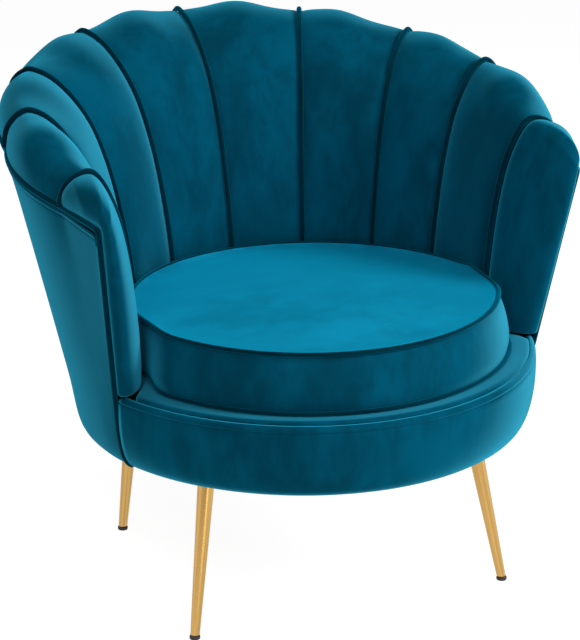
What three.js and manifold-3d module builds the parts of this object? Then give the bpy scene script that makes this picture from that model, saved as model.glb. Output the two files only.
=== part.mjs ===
// Scallop back tub chair: a round loose seat cushion in a channelled shell on four splayed metal legs.
// Lengths are millimetres. The seat cushion's axis is the z axis and the chair faces -Y. Angles round
// the shell start straight behind the seat and grow towards the right arm, on the +X side.
import * as THREE from "three";
import { mergeVertices } from "three/addons/utils/BufferGeometryUtils.js";
import Module from "manifold-3d";

const wasm = await Module();
wasm.setup();

// Overall sizes
const BASE_UNDERSIDE = 251; // floor to the lower edge of the base
const BASE_DEPTH = 115; // lower edge of the base to the top of the seat deck
const BACK_RISE = 405; // seat deck to the crest of the back at its centre seam
const BACK_REACH = 505; // seat axis to the crest of the back at its centre seam
const BASE_RADIUS = 336; // seat axis to the front of the base
const BASE_REAR_EXTRA = 40; // how much further the base reaches behind the seat axis
const BASE_REAR_POWER = 1.35; // how fast that extra reach fades towards the front

// Clearances
const CLEARANCE = 0.3; // between pieces that touch
const ROUND_CLEARANCE = 0.9; // between round pieces that lie one inside the other
const RIB_CLEARANCE = 3; // between a rib and the padding that it backs
const ARM_RIB_CLEARANCE = 5; // the arm's padding turns away faster across the rib
const COVER_CLEARANCE = 5; // between a rib and the outer cover that is stretched over it

// Seat well and back, by the seams from the centre one to the one on the arm
const SEAM_ANGLES = [0, 22.5, 45, 67, 96];
const WELL_RADIUS = 288;
const WELL_RADIUS_SHARES = [1.01, 1, 0.985, 0.985, 0.985];
const CREST_REACH_SHARES = [1, 0.944, 0.877, 0.796, 0.7];
const CREST_RISE_SHARES = [1, 0.986, 0.946, 0.894, 0.783];
// Inner face at a seam: shares of the way from the well to the crest, outwards and upwards
const FACE_SHARES = [
  [0, 0],
  [0, 0.14],
  [0.075, 0.35],
  [0.2, 0.575],
  [0.37, 0.76],
  [0.56, 0.88],
  [0.78, 0.965],
  [1, 1],
];
const ROLL_REACH = 38; // crest to the outermost line of the rolled edge
const ROLL_REACH_SHARES = [1, 1, 1, 1, 1.15];
const ROLL_DROP = 50; // crest to the welt under the rolled edge
const ROLL_DROP_SHARES = [1, 1, 1, 1.1, 0.8];
const ROLL_STEPS = 3;

// Channels
const PAD_THICKNESS = 15;
const CHANNEL_RISE = 13; // how far a channel stands proud of its seams
const CHANNEL_RISE_SHARES = [0.2, 0.25, 0.6, 0.8, 0.95, 1, 1, 1, 1, 0.8, 0.6];
const ROLL_RISE_SHARES = [1, 0.8, 0.7, 0.95]; // of that rise left on the rolled edge, by panel
const CHANNEL_ROUND_POWER = 0.7;
const ROLL_ROUND_POWER = 1.4;
// Each panel's hump at the crest: its height as a share of that rise, and its place and width across
const CREST_HUMP_SHARES = [
  [0.96, 0.47, 0.25],
  [0.73, 0.33, 0.24],
  [0.62, 0.33, 0.26],
  [1.12, 0.42, 0.26],
];
const SEAM_DIP_SHARES = [0.23, 0.12, 0.3, 0.14, 0]; // of that rise, which each seam dips at the crest
const HUMP_EDGE_SHARE = 0.35; // of the bow across a channel, over which its hump starts
const CREST_BLEND = 3; // stations before the crest over which the humps grow
const ROLL_EASE = 0.6; // stations kept as they are at either end of the rolled edge
const CHANNEL_STEPS = 7;
const CHANNEL_STATIONS = [0, 1, 2, 2.7, 3.4, 4, 4.6, 5.2, 5.8, 6.4, 7, 7.5, 8, 8.5, 9, 9.5, 10];

// Arm fronts
const ARM_FRONT_ANGLE = 104.5; // where the welt of the arm front meets the base
// Crest of the arm's seam to the corner where the welt turns down
const ARM_CORNER_OUT = 23.4;
const ARM_CORNER_FORWARD = 103;
const ARM_CORNER_DROP = 53.4;
const ARM_DEPTH = 66; // how far the padded arm front stands before its welt
// Handles of the arm front's curves, in shares of its depth: sideways, forwards and upwards
const ARM_SEAM_SHARES = [
  [0.06, -1, 0],
  [0.06, -1, 0],
  [0.08, -1, 0],
  [0.1, -1, 0],
  [0.12, -1, 0],
  [0.12, -0.95, 0],
  [0.14, -0.95, 0.06],
  [0.18, -0.85, 0.1],
  [0.18, -0.5, 0.1],
  [0.1, -0.24, 0.05],
  [0, 0, 0],
];
const ARM_WELT_SHARES = [
  [-0.08, -0.5, 0],
  [-0.1, -0.62, 0],
  [-0.16, -0.78, 0],
  [-0.2, -0.88, 0],
  [-0.22, -0.95, 0.04],
  [-0.24, -0.95, 0.14],
  [-0.2, -0.85, 0.42],
  [-0.02, -0.48, 0.66],
  [0.16, -0.2, 0.56],
  [0.1, 0, 0.26],
  [0, 0, 0],
];
const ARM_WELT_GAP = 2; // welt to the arm's channel, along the face
const ARM_STEPS = 9;
const ARM_PADDING_SHARES = [1, 1, 1, 1, 1, 0.95, 0.85, 0.65, 0.5, 0.45]; // thins to the welt, step by step
const ARM_STATION_STEP = 0.05; // along which the arm's slope is measured
const ARM_STATIONS = [0, 1, 2, 2.7, 3.4, 4, 4.6, 5.2, 5.8, 6.4, 7, 7.5, 8, 8.5, 9, 9.4];

// Cords
const CORD_RADIUS = 4;
const CORD_GAP = 0.85; // cord to the channels beside it, along the face
const CORD_SIDES = 6;
const CORD_LIFT = 1.6; // cord centre over the seam line
const CORD_STEPS = 16;
const WELT_SINK = 1.6; // welt centre under the face of the channels
const WELT_STEPS = 130;
const WELT_PANEL_SHARES = [0, 0.08, 0.25, 0.5, 0.75, 0.92]; // its points across each channel
const WELT_ARM_STATIONS = [10, 9, 8, 7.3, 6.4, 5, 4, 3, 2, 1];

// Outer covers
const COVER_THICKNESS = 3;
const COVER_LEVEL_SHARES = [0, 0.1, 0.25, 0.5, 0.75, 1];
const COVER_FADE_POWER = 2.5; // how fast the scallops fade below the welt
const COVER_PANEL_SHARES = [0, 0.25, 0.5, 0.75]; // its columns across each channel
const COVER_ARM_SHARES = [0, 0.5, 1];
const COVER_WELT_GAP = 0.95; // below the welt, where the scallops run level
const COVER_CORNER_GAP = 6; // between the welt and the cover at the arm's corner
const COVER_CORNER_DROP = 4; // how much lower the cover stops there
const KNEE_HEIGHT = 84; // lower edge of the base to where its rounding starts
const KNEE_INSET = 25; // how far that rounding draws the edge in
const KNEE_STEPS = 4;
const KNEE_PULL_SHARE = 0.55; // roundness: share of both that the curve's handles take
const EDGE_TUCK = 42; // how far the covers reach in under the base

// Base
const PLY_THICKNESS = 18;
const HOOP_THICKNESS = 9;
const FRAME_INSET = 27; // base cover to the rim of the plywood rings
const RING_INNER_RADIUS = 196;
const RING_SEGMENTS = 36;
const WEBBING_THICKNESS = 1.5;
const WEBBING_WIDTH = 60;
const WEBBING_SPACING = 130;
const WEBBING_LENGTH = 584;
const DUST_COVER_THICKNESS = 1.2;
const DECK_THICKNESS = 12;
const DECK_INSET = 10.5; // base cover to the edge of the deck
const DECK_DROOP = 4.5; // how far the deck's soft edge drops
const DECK_TURN = 6; // angle past the arm over which the deck widens
const APRON_SEAM_DEPTH = 16; // height of the thin upper hem of the apron
// Outline of that hem: shares of its inset and of its height
const APRON_HEM_SHARES = [[1, 0], [0.5, 0.07], [0.16, 0.28], [0, 1]];
const APRON_WALL_SHARES = [0.5, 0.33, 0.25, 0.12]; // inner points beside the rounding
const APRON_STEPS = 13;

// Cushion
const CUSHION_TOP_INSET = 3; // well to the cushion's upper seam
const CUSHION_BOTTOM_REACH = 15; // well to its lower seam where no arm holds it
const CUSHION_TOP_DRAW = 2; // lower seam to the upper one where the arms hold both
const CUSHION_REAR_DRAW = 20; // how much further its upper edge draws in behind
const CUSHION_REAR_FALL = 10; // and how much lower it lies there
const CUSHION_REAR_POWER = 0.6; // how soon both fade towards the arms
const CUSHION_FREE_ANGLE = 116;
const CUSHION_HELD_ANGLE = 97;
const CUSHION_HEIGHT = 85; // deck to the top piping
const CUSHION_CROWN = 30;
const CUSHION_BULGE = 6;
const CUSHION_CORD_RADIUS = 3.2;
const CUSHION_GROOVE = 3.8; // cord centre to the cushion's side beside it
const CUSHION_SIDE_SHARES = [0.1, 0.35, 0.65, 0.9];
const CUSHION_CROWN_SHARES = [0.97, 0.85, 0.6, 0.3, 0.04];
const CUSHION_SEGMENTS = 40;

// Legs
const LEG_TOP_RADIUS = 13;
const LEG_FOOT_RADIUS = 7;
const LEG_SIDES = 16;
const BORE_RADIUS = 5.2;
const BORE_DEPTH = 16;
const FRONT_FOOT_X = 252;
const FRONT_FOOT_Y = -165;
const FRONT_LEG_SPLAY_X = 40;
const FRONT_LEG_SPLAY_Y = -42;
const REAR_FOOT_X = 210;
const REAR_FOOT_Y = 249;
const REAR_LEG_SPLAY_X = 10;
const REAR_LEG_SPLAY_Y = 40;
const PLATE_THICKNESS = 3;
const PLATE_LENGTH = 84;
const PLATE_WIDTH = 42;
const BOLT_SPACING = 56;
const BOLT_RADIUS = 3;
const BOLT_HOLE_RADIUS = 3.4;
const BOLT_HEAD_RADIUS = 5.5;
const BOLT_HEAD_HEIGHT = 3.2;
const BOLT_BITE = 14; // how far a bolt reaches into the lower ring
const BOLT_SIDES = 8;
const CAP_RADIUS = 8;
const CAP_HEIGHT = 6;
const CAP_STEM_RADIUS = 4.9;
const CAP_STEM_LENGTH = 14;
// Outline of a foot cap: shares of its radius and height
const CAP_PROFILE_SHARES = [[0, 0], [0.75, 0], [0.95, 0.12], [1, 0.4], [0.95, 0.8], [0.75, 1], [0, 1]];

// Top rail
const RAIL_WIDTH = 20;
const RAIL_HEIGHT = 32;
const RAIL_OFFSET = 5; // crest to the middle of the rail, outwards
const RAIL_GAP = 16; // back of the padding at the crest to the top of the rail
const NOTCH_CLEARANCE = 0.6; // between the rail and the notches it lies in
const RAIL_STEPS = 2; // lengths of rail between two seams
const CUT_OVERRUN = 60;

const DEG = Math.PI / 180;
const DECK_TOP = BASE_UNDERSIDE + BASE_DEPTH;
const SHELL_START = DECK_TOP + CLEARANCE;
const RING_BOTTOM = BASE_UNDERSIDE + COVER_THICKNESS + CLEARANCE;
const DECK_BOTTOM = DECK_TOP - DECK_THICKNESS;
const RING_TOP = DECK_BOTTOM - 2 * WEBBING_THICKNESS - 3 * CLEARANCE;
const CREST_STATION = FACE_SHARES.length - 1;
const LAST_STATION = CREST_STATION + ROLL_STEPS;
const LAST_SEAM = SEAM_ANGLES.length - 1;
const WELT_PITCH = CORD_RADIUS + CLEARANCE;

const MATERIALS = {
  velvet: finish(0x006580, 0.75, 0),
  cushionVelvet: finish(0x167f9c, 0.7, 0),
  piping: finish(0x00333f, 0.8, 0),
  lining: finish(0x222222, 0.9, 0),
  webbing: finish(0x4a4035, 0.9, 0),
  plywood: finish(0xb98f5c, 0.7, 0),
  brass: finish(0xc9a66b, 0.3, 1),
  steel: finish(0x8d8f92, 0.4, 1),
  rubber: finish(0x241c1c, 0.6, 0),
};

const chair = new THREE.Group();

function finish(color, roughness, metalness) {
  return new THREE.MeshStandardMaterial({ color, roughness, metalness });
}

function add(name, geometry, material) {
  const mesh = new THREE.Mesh(geometry, material);
  mesh.name = name;
  chair.add(mesh);
}

function polar(angle, radius, z) {
  return new THREE.Vector3(radius * Math.sin(angle * DEG), radius * Math.cos(angle * DEG), z);
}

function mix(a, b, share) {
  return a + (b - a) * share;
}

// Value of a table at a place between its rows
function tableAt(table, place) {
  const low = Math.min(Math.floor(place), table.length - 2);
  const share = place - low;
  const a = table[low];
  const b = table[low + 1];
  return Array.isArray(a) ? a.map((value, i) => mix(value, b[i], share)) : mix(a, b, share);
}

// Closed body through rings of equal counts; open ends are closed across each ring's two halves
function loft(rings, closed = false) {
  const count = rings[0].length;
  const index = [];
  const spans = closed ? rings.length : rings.length - 1;
  for (let i = 0; i < spans; i++) {
    const here = i * count;
    const next = ((i + 1) % rings.length) * count;
    for (let j = 0; j < count; j++) {
      const k = (j + 1) % count;
      index.push(here + j, here + k, next + k, here + j, next + k, next + j);
    }
  }
  if (!closed) {
    closeRing(index, 0, count, true);
    closeRing(index, (rings.length - 1) * count, count, false);
  }
  const geometry = new THREE.BufferGeometry().setFromPoints(rings.flat());
  geometry.setIndex(index);
  return facingOut(geometry);
}

function closeRing(index, start, count, reversed) {
  for (let j = 0; j < Math.floor((count - 1) / 2); j++) {
    const a = start + j;
    const b = start + j + 1;
    const c = start + count - 2 - j;
    const d = start + count - 1 - j;
    const faces = b === c ? [[a, b, d]] : [[a, b, c], [a, c, d]];
    for (const [p, q, r] of faces) index.push(...(reversed ? [r, q, p] : [p, q, r]));
  }
}

function facingOut(geometry) {
  const p = geometry.attributes.position;
  const index = geometry.index.array;
  const corner = [new THREE.Vector3(), new THREE.Vector3(), new THREE.Vector3()];
  let volume = 0;
  for (let i = 0; i < index.length; i += 3) {
    corner.forEach((v, j) => v.fromBufferAttribute(p, index[i + j]));
    volume += corner[0].dot(corner[1].cross(corner[2]));
  }
  if (volume < 0) flip(geometry);
  return geometry;
}

function flip(geometry) {
  const index = geometry.index.array;
  for (let i = 0; i < index.length; i += 3) [index[i + 1], index[i + 2]] = [index[i + 2], index[i + 1]];
  return geometry;
}

function mirrored(geometry) {
  return flip(geometry.clone().scale(-1, 1, 1));
}

function solid(geometry) {
  const bare = geometry.clone();
  bare.deleteAttribute("normal");
  bare.deleteAttribute("uv");
  const merged = mergeVertices(bare, CLEARANCE / 100);
  return new wasm.Manifold(
    new wasm.Mesh({
      numProp: 3,
      vertProperties: merged.attributes.position.array,
      triVerts: new Uint32Array(merged.index.array),
    }),
  );
}

function fromSolid(body) {
  const { vertProperties, triVerts } = body.getMesh();
  const geometry = new THREE.BufferGeometry();
  geometry.setAttribute("position", new THREE.BufferAttribute(vertProperties, 3));
  return geometry.setIndex(new THREE.BufferAttribute(triVerts, 1));
}

// Body between an outer and an inner skin, each a list of columns of points
function slab(outer, inner) {
  return loft(outer.map((column, i) => [...column, ...inner[i].slice().reverse()]));
}

// Columns for the left half, taken from the right one, put before them
function bothSides(columns) {
  const left = columns.map((column) => column.map((p) => new THREE.Vector3(-p.x, p.y, p.z)));
  const shared = Math.abs(columns[0][0].x) < CLEARANCE ? 1 : 0;
  return [...left.reverse(), ...columns.slice(shared)];
}

// Skin moved along its own normals towards the seat axis side
function inwards(columns, distance) {
  const at = (i, j) => columns[Math.max(0, Math.min(i, columns.length - 1))][j];
  return columns.map((column, i) =>
    column.map((p, j) => {
      const along = at(i + 1, j).clone().sub(at(i - 1, j));
      const low = column[Math.max(0, j - 1)];
      const high = column[Math.min(column.length - 1, j + 1)];
      const normal = along.cross(high.clone().sub(low)).normalize();
      return p.clone().addScaledVector(normal, distance);
    }),
  );
}

function cordAlong(points, radius, steps) {
  const shape = new THREE.Shape();
  for (let i = 0; i < CORD_SIDES; i++) {
    const a = (2 * Math.PI * i) / CORD_SIDES;
    shape[i ? "lineTo" : "moveTo"](radius * Math.cos(a), radius * Math.sin(a));
  }
  shape.closePath();
  const extrudePath = new THREE.CatmullRomCurve3(points, false, "centripetal");
  return new THREE.ExtrudeGeometry(shape, { steps, extrudePath, bevelEnabled: false });
}

// Sections through the seams, as curves of radius and height
const seamSections = SEAM_ANGLES.map((angle, k) => {
  const well = WELL_RADIUS * WELL_RADIUS_SHARES[k];
  const reach = BACK_REACH * CREST_REACH_SHARES[k];
  const rise = BACK_RISE * CREST_RISE_SHARES[k];
  const drop = ROLL_DROP * ROLL_DROP_SHARES[k];
  const roll = ROLL_REACH * ROLL_REACH_SHARES[k];
  const points = FACE_SHARES.map(
    ([out, up]) => new THREE.Vector2(mix(well, reach, out), SHELL_START + rise * up),
  );
  for (let i = 1; i <= ROLL_STEPS; i++) {
    const turn = ((Math.PI / 2) * i) / ROLL_STEPS;
    const fall = drop * (1 - Math.cos(turn));
    points.push(new THREE.Vector2(reach + roll * Math.sin(turn), SHELL_START + rise - fall));
  }
  return new THREE.SplineCurve(points);
});

// Place on the back between two seams, with its directions: side (to the right), up and out of the face
function backFrame(panel, station, across) {
  const share = station / LAST_STATION;
  const [a, b] = [seamSections[panel].getPoint(share), seamSections[panel + 1].getPoint(share)];
  const [ta, tb] = [seamSections[panel].getTangent(share), seamSections[panel + 1].getTangent(share)];
  const angle = mix(SEAM_ANGLES[panel], SEAM_ANGLES[panel + 1], across);
  const radius = mix(a.x, b.x, across);
  const turn = (SEAM_ANGLES[panel + 1] - SEAM_ANGLES[panel]) * DEG;
  const side = polar(angle + 90, radius * turn, b.y - a.y).addScaledVector(polar(angle, 1, 0), b.x - a.x);
  const up = polar(angle, mix(ta.x, tb.x, across), mix(ta.y, tb.y, across)).normalize();
  const width = side.length();
  side.normalize();
  return {
    point: polar(angle, radius, mix(a.y, b.y, across)),
    side,
    up,
    out: new THREE.Vector3().crossVectors(side, up).normalize(),
    width,
  };
}

// How far a station is on its way from the face to the crest, and from there round the rolled edge
function crestShare(station) {
  return THREE.MathUtils.smoothstep(station, CREST_STATION - CREST_BLEND, CREST_STATION);
}

function rollShare(station) {
  return THREE.MathUtils.smoothstep(station, CREST_STATION + ROLL_EASE, LAST_STATION - ROLL_EASE);
}

function lobe(panel, station, across) {
  const bow = Math.max(0, 1 - (2 * across - 1) ** 2);
  const rise = CHANNEL_RISE * tableAt(CHANNEL_RISE_SHARES, station);
  const [height, place, width] = CREST_HUMP_SHARES[panel];
  const edge = THREE.MathUtils.smoothstep(bow, 0, HUMP_EDGE_SHARE);
  const hump = CHANNEL_RISE * height * edge * Math.exp(-(((across - place) / width) ** 2));
  const face = mix(rise * bow ** CHANNEL_ROUND_POWER, hump, crestShare(station));
  return mix(face, rise * ROLL_RISE_SHARES[panel] * bow ** ROLL_ROUND_POWER, rollShare(station));
}

function seamOut(k, up) {
  return polar(SEAM_ANGLES[k] + 90, 1, 0).cross(up);
}

// How far and where to the seams pull a place near the crest in
function seamDip(panel, station, across) {
  const depth = CHANNEL_RISE * crestShare(station) * (1 - rollShare(station));
  const dip = new THREE.Vector3();
  for (const [k, share] of [[panel, 1 - across], [panel + 1, across]]) {
    const { up } = backFrame(panel, station, k - panel);
    dip.addScaledVector(seamOut(k, up), -depth * SEAM_DIP_SHARES[k] * share);
  }
  return dip;
}

function baseRadius(angle) {
  const share = (1 + Math.cos(angle * DEG)) / 2;
  return BASE_RADIUS + BASE_REAR_EXTRA * share ** BASE_REAR_POWER;
}

function kneePoint(angle) {
  return polar(angle, baseRadius(angle), BASE_UNDERSIDE + KNEE_HEIGHT);
}

// Rounded lower edge of the base, which carries on from the point above the knee it comes from
function kneeRound(angle, above) {
  const knee = kneePoint(angle);
  const edge = polar(angle, baseRadius(angle) - KNEE_INSET, BASE_UNDERSIDE);
  const fall = (KNEE_HEIGHT * KNEE_PULL_SHARE) / (above.z - knee.z);
  const round = new THREE.CubicBezierCurve3(
    knee,
    knee.clone().addScaledVector(knee.clone().sub(above), fall),
    edge.clone().add(polar(angle, KNEE_INSET * KNEE_PULL_SHARE, 0)),
    edge,
  );
  return round.getPoints(KNEE_STEPS).slice(1);
}

// Line of the welt: along the scalloped edge behind, round the arm's corner and down the arm front
function weltPoint(panel, across) {
  const { point, up, out } = backFrame(panel, LAST_STATION, across);
  point.addScaledVector(up, WELT_PITCH);
  return point.addScaledVector(out, lobe(panel, LAST_STATION, across) - WELT_SINK);
}
const armCrest = polar(
  SEAM_ANGLES[LAST_SEAM],
  BACK_REACH * CREST_REACH_SHARES[LAST_SEAM],
  SHELL_START + BACK_RISE * CREST_RISE_SHARES[LAST_SEAM],
);
const armCorner = armCrest.add(new THREE.Vector3(ARM_CORNER_OUT, -ARM_CORNER_FORWARD, -ARM_CORNER_DROP));
const armKnee = kneePoint(ARM_FRONT_ANGLE);
const armEdge = weltPoint(LAST_SEAM - 1, 1);

function armWelt(station) {
  if (station > CREST_STATION) {
    return armCorner.clone().lerp(armEdge, (station - CREST_STATION) / (LAST_STATION - CREST_STATION));
  }
  const up = tableAt(FACE_SHARES, station)[1];
  const height = mix(SHELL_START, armCorner.z, up);
  return armKnee.clone().lerp(armCorner, (height - armKnee.z) / (armCorner.z - armKnee.z));
}

// Curve across the arm's channel from its seam round the padded front to the welt
function armCurve(station) {
  const start = backFrame(LAST_SEAM - 1, station, 1).point;
  const end = armWelt(station);
  const seamHandle = new THREE.Vector3(...tableAt(ARM_SEAM_SHARES, station));
  const weltHandle = new THREE.Vector3(...tableAt(ARM_WELT_SHARES, station));
  return new THREE.CubicBezierCurve3(
    start,
    start.clone().addScaledVector(seamHandle, ARM_DEPTH),
    end.clone().addScaledVector(weltHandle, ARM_DEPTH),
    end,
  );
}

function armFrame(station, across) {
  const curve = armCurve(station);
  const above = armCurve(station + ARM_STATION_STEP).getPointAt(across);
  const below = armCurve(Math.max(0, station - ARM_STATION_STEP)).getPointAt(across);
  const up = above.sub(below).normalize();
  const side = curve.getTangentAt(across);
  return {
    point: curve.getPointAt(across),
    out: new THREE.Vector3().crossVectors(side, up).normalize(),
    width: curve.getLength(),
  };
}

function channel(panel) {
  return loft(
    CHANNEL_STATIONS.map((station) => {
      const inset = (CORD_RADIUS + CORD_GAP) / backFrame(panel, station, 0.5).width;
      const front = [];
      const back = [];
      for (let j = 0; j <= CHANNEL_STEPS; j++) {
        const across = mix(inset, 1 - inset, j / CHANNEL_STEPS);
        const { point, out } = backFrame(panel, station, across);
        const dip = seamDip(panel, station, across);
        front.push(point.clone().addScaledVector(out, lobe(panel, station, across)).add(dip));
        back.push(point.addScaledVector(out, -PAD_THICKNESS));
      }
      return [...front, ...back.reverse()];
    }),
  );
}

function armChannel() {
  return loft(
    ARM_STATIONS.map((station) => {
      const length = armCurve(station).getLength();
      const first = (CORD_RADIUS + CORD_GAP) / length;
      const last = 1 - (CORD_RADIUS + ARM_WELT_GAP) / length;
      const front = [];
      const back = [];
      for (let j = 0; j <= ARM_STEPS; j++) {
        const { point, out } = armFrame(station, mix(first, last, j / ARM_STEPS));
        front.push(point.clone());
        back.push(point.addScaledVector(out, -PAD_THICKNESS * ARM_PADDING_SHARES[j]));
      }
      return [...front, ...back.reverse()];
    }),
  );
}

function seamCord(k) {
  const points = [];
  for (let station = 0; station <= LAST_STATION; station += 0.5) {
    const panel = Math.min(k, LAST_SEAM - 1);
    const { point, up } = backFrame(panel, station, k - panel);
    points.push(point.addScaledVector(seamOut(k, up), CORD_LIFT).add(seamDip(panel, station, k - panel)));
  }
  return cordAlong(points, CORD_RADIUS, CORD_STEPS);
}

function addBack() {
  add("channel_piping_5", seamCord(0), MATERIALS.piping);
  for (let k = 0; k <= LAST_SEAM; k++) {
    const geometry = k < LAST_SEAM ? channel(k) : armChannel();
    add(`back_channel_${6 + k}`, geometry, MATERIALS.velvet);
    add(`back_channel_${5 - k}`, mirrored(geometry), MATERIALS.velvet);
    if (k === 0) continue;
    const cord = solidCord(seamCord(k));
    add(`channel_piping_${5 + k}`, cord, MATERIALS.piping);
    add(`channel_piping_${5 - k}`, mirrored(cord), MATERIALS.piping);
  }
}

function solidCord(geometry) {
  return fromSolid(solid(geometry));
}

function addEdgeWelt() {
  const side = [];
  for (let panel = 0; panel < LAST_SEAM; panel++) {
    for (const across of WELT_PANEL_SHARES) side.push(weltPoint(panel, across));
  }
  for (const station of WELT_ARM_STATIONS) side.push(armWelt(station));
  side.push(armKnee, ...kneeRound(ARM_FRONT_ANGLE, armCorner));
  const left = side.slice(1).map((p) => new THREE.Vector3(-p.x, p.y, p.z));
  add("edge_welt", cordAlong([...left.reverse(), ...side], CORD_RADIUS, WELT_STEPS), MATERIALS.piping);
}

// Outer cover: smooth sheet from the welt down over the base and in under it
function coverColumn(top, plainTop, angle) {
  const knee = kneePoint(angle);
  const scallop = top.clone().sub(plainTop);
  const column = COVER_LEVEL_SHARES.map((share) =>
    plainTop.clone().lerp(knee, share).addScaledVector(scallop, (1 - share) ** COVER_FADE_POWER),
  );
  const hem = polar(angle, baseRadius(angle) - EDGE_TUCK, BASE_UNDERSIDE);
  return [...column, ...kneeRound(angle, plainTop), hem];
}

function addOuterCover() {
  const columns = [];
  const below = new THREE.Vector3(0, 0, -CORD_RADIUS - COVER_WELT_GAP);
  for (let panel = 0; panel < LAST_SEAM; panel++) {
    for (const across of COVER_PANEL_SHARES) {
      const { point, up } = backFrame(panel, LAST_STATION, across);
      const plain = point.addScaledVector(up, WELT_PITCH).add(below);
      const top = weltPoint(panel, across).add(below);
      columns.push(coverColumn(top, plain, mix(SEAM_ANGLES[panel], SEAM_ANGLES[panel + 1], across)));
    }
  }
  const pitch = WELT_PITCH + COVER_CORNER_GAP;
  const stop = ARM_FRONT_ANGLE - pitch / BASE_RADIUS / DEG;
  for (const share of COVER_ARM_SHARES) {
    const edge = share * (1 - pitch / armCorner.distanceTo(armEdge));
    const top = armEdge.clone().lerp(armCorner, edge).add(below);
    top.z -= COVER_CORNER_DROP * share;
    columns.push(coverColumn(top, top, mix(SEAM_ANGLES[LAST_SEAM], stop, share)));
  }
  const outer = bothSides(columns);
  add("outer_back_cover", slab(outer, inwards(outer, COVER_THICKNESS)), MATERIALS.velvet);
}

// Base: padded front apron, seat deck, plywood rings and hoop, webbing and dust cover
function addApron() {
  const start = ARM_FRONT_ANGLE + (WELT_PITCH + CLEARANCE) / BASE_RADIUS / DEG;
  const seam = DECK_TOP - DECK_DROOP;
  const hem = DECK_INSET - ROUND_CLEARANCE;
  const wall = FRAME_INSET - ROUND_CLEARANCE;
  const outer = [];
  const inner = [];
  for (let i = 0; i <= APRON_STEPS; i++) {
    const angle = mix(180, start, i / APRON_STEPS);
    const at = (inset, z) => polar(angle, baseRadius(angle) - inset, z);
    outer.push([
      ...APRON_HEM_SHARES.map(([inset, fall]) => at(hem * inset, seam - APRON_SEAM_DEPTH * fall)),
      kneePoint(angle),
      ...kneeRound(angle, at(0, seam)),
      at(EDGE_TUCK, BASE_UNDERSIDE),
    ]);
    inner.push([
      at(hem, seam - APRON_SEAM_DEPTH / 4),
      at(hem, seam - APRON_SEAM_DEPTH / 2),
      at(hem, seam - APRON_SEAM_DEPTH),
      at(wall, seam - 2 * APRON_SEAM_DEPTH),
      ...APRON_WALL_SHARES.map((up) => at(wall, BASE_UNDERSIDE + KNEE_HEIGHT * up)),
      at(wall, BASE_UNDERSIDE + COVER_THICKNESS),
      at(EDGE_TUCK, BASE_UNDERSIDE + COVER_THICKNESS),
    ]);
  }
  add("base_apron", slab(bothSides(outer), bothSides(inner)), MATERIALS.velvet);
}

// Ring about the seat axis, with a section given as [radius at an angle, height] points
function ring(section, segments) {
  const rings = [];
  for (let i = 0; i < segments; i++) {
    const angle = (360 * i) / segments;
    rings.push(section.map(([radius, z]) => polar(angle, radius(angle), z)));
  }
  return loft(rings, true);
}

function frameRing(bottom, inner) {
  const rim = (angle) => baseRadius(angle) - FRAME_INSET;
  const bore = () => inner;
  const top = bottom + PLY_THICKNESS;
  return ring([[bore, bottom], [rim, bottom], [rim, top], [bore, top]], RING_SEGMENTS);
}

// Body through round levels, each given as [radius at an angle, height at an angle]
function disc(levels, segments) {
  const rings = levels.map(([radius, height]) => {
    const points = [];
    for (let i = 0; i < segments; i++) {
      const angle = (360 * i) / segments;
      points.push(polar(angle, radius(angle), height(angle)));
    }
    return points;
  });
  return loft(rings);
}

function deckRadius(angle) {
  const away = Math.abs(angle > 180 ? angle - 360 : angle);
  const turn = away - DECK_TURN;
  const free = THREE.MathUtils.smoothstep(turn, SEAM_ANGLES[LAST_SEAM], ARM_FRONT_ANGLE);
  return mix(WELL_RADIUS + PAD_THICKNESS / 2, baseRadius(angle) - DECK_INSET, free);
}

function addDeck() {
  const level = (inset, z) => [(angle) => deckRadius(angle) - inset, () => z];
  const levels = [
    level(0, DECK_BOTTOM),
    level(0, DECK_TOP - DECK_DROOP),
    level(DECK_DROOP, DECK_TOP - DECK_DROOP / 4),
    level(2 * DECK_DROOP, DECK_TOP),
  ];
  add("seat_deck", disc(levels, RING_SEGMENTS), MATERIALS.velvet);
}

function boltPlaces() {
  const places = [];
  for (const leg of legPlaces()) {
    for (const [end, letter] of [[-1, "a"], [1, "b"]]) {
      const x = leg.top.x + (leg.along.x * end * BOLT_SPACING) / 2;
      const y = leg.top.y + (leg.along.y * end * BOLT_SPACING) / 2;
      places.push({ name: `${leg.name}_bolt_${letter}`, x, y });
    }
  }
  return places;
}

function cylinder(radius, bottom, top, x, y, sides) {
  const geometry = new THREE.CylinderGeometry(radius, radius, top - bottom, sides);
  return geometry.rotateX(Math.PI / 2).translate(x, y, (bottom + top) / 2);
}

// Body with the leg bolts' holes through everything between two heights
function drilled(body, bottom, top) {
  const [low, high] = [bottom - PLY_THICKNESS, top + PLY_THICKNESS];
  let result = body;
  for (const { x, y } of boltPlaces()) {
    result = result.subtract(solid(cylinder(BOLT_HOLE_RADIUS, low, high, x, y, BOLT_SIDES)));
  }
  return fromSolid(result);
}

function addRings() {
  const lowerTop = RING_BOTTOM + PLY_THICKNESS;
  const upperBottom = RING_TOP - PLY_THICKNESS;
  const lower = solid(frameRing(RING_BOTTOM, RING_INNER_RADIUS));
  const upper = frameRing(upperBottom, RING_INNER_RADIUS + PLY_THICKNESS);
  add("base_ring_lower", drilled(lower, RING_BOTTOM, lowerTop), MATERIALS.plywood);
  add("base_ring_upper", upper, MATERIALS.plywood);
  const rim = (angle) => baseRadius(angle) - FRAME_INSET;
  const back = (angle) => rim(angle) - HOOP_THICKNESS;
  const low = lowerTop + CLEARANCE;
  const high = upperBottom - CLEARANCE;
  const section = [[back, low], [rim, low], [rim, high], [back, high]];
  add("base_hoop", ring(section, RING_SEGMENTS), MATERIALS.plywood);
}

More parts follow.
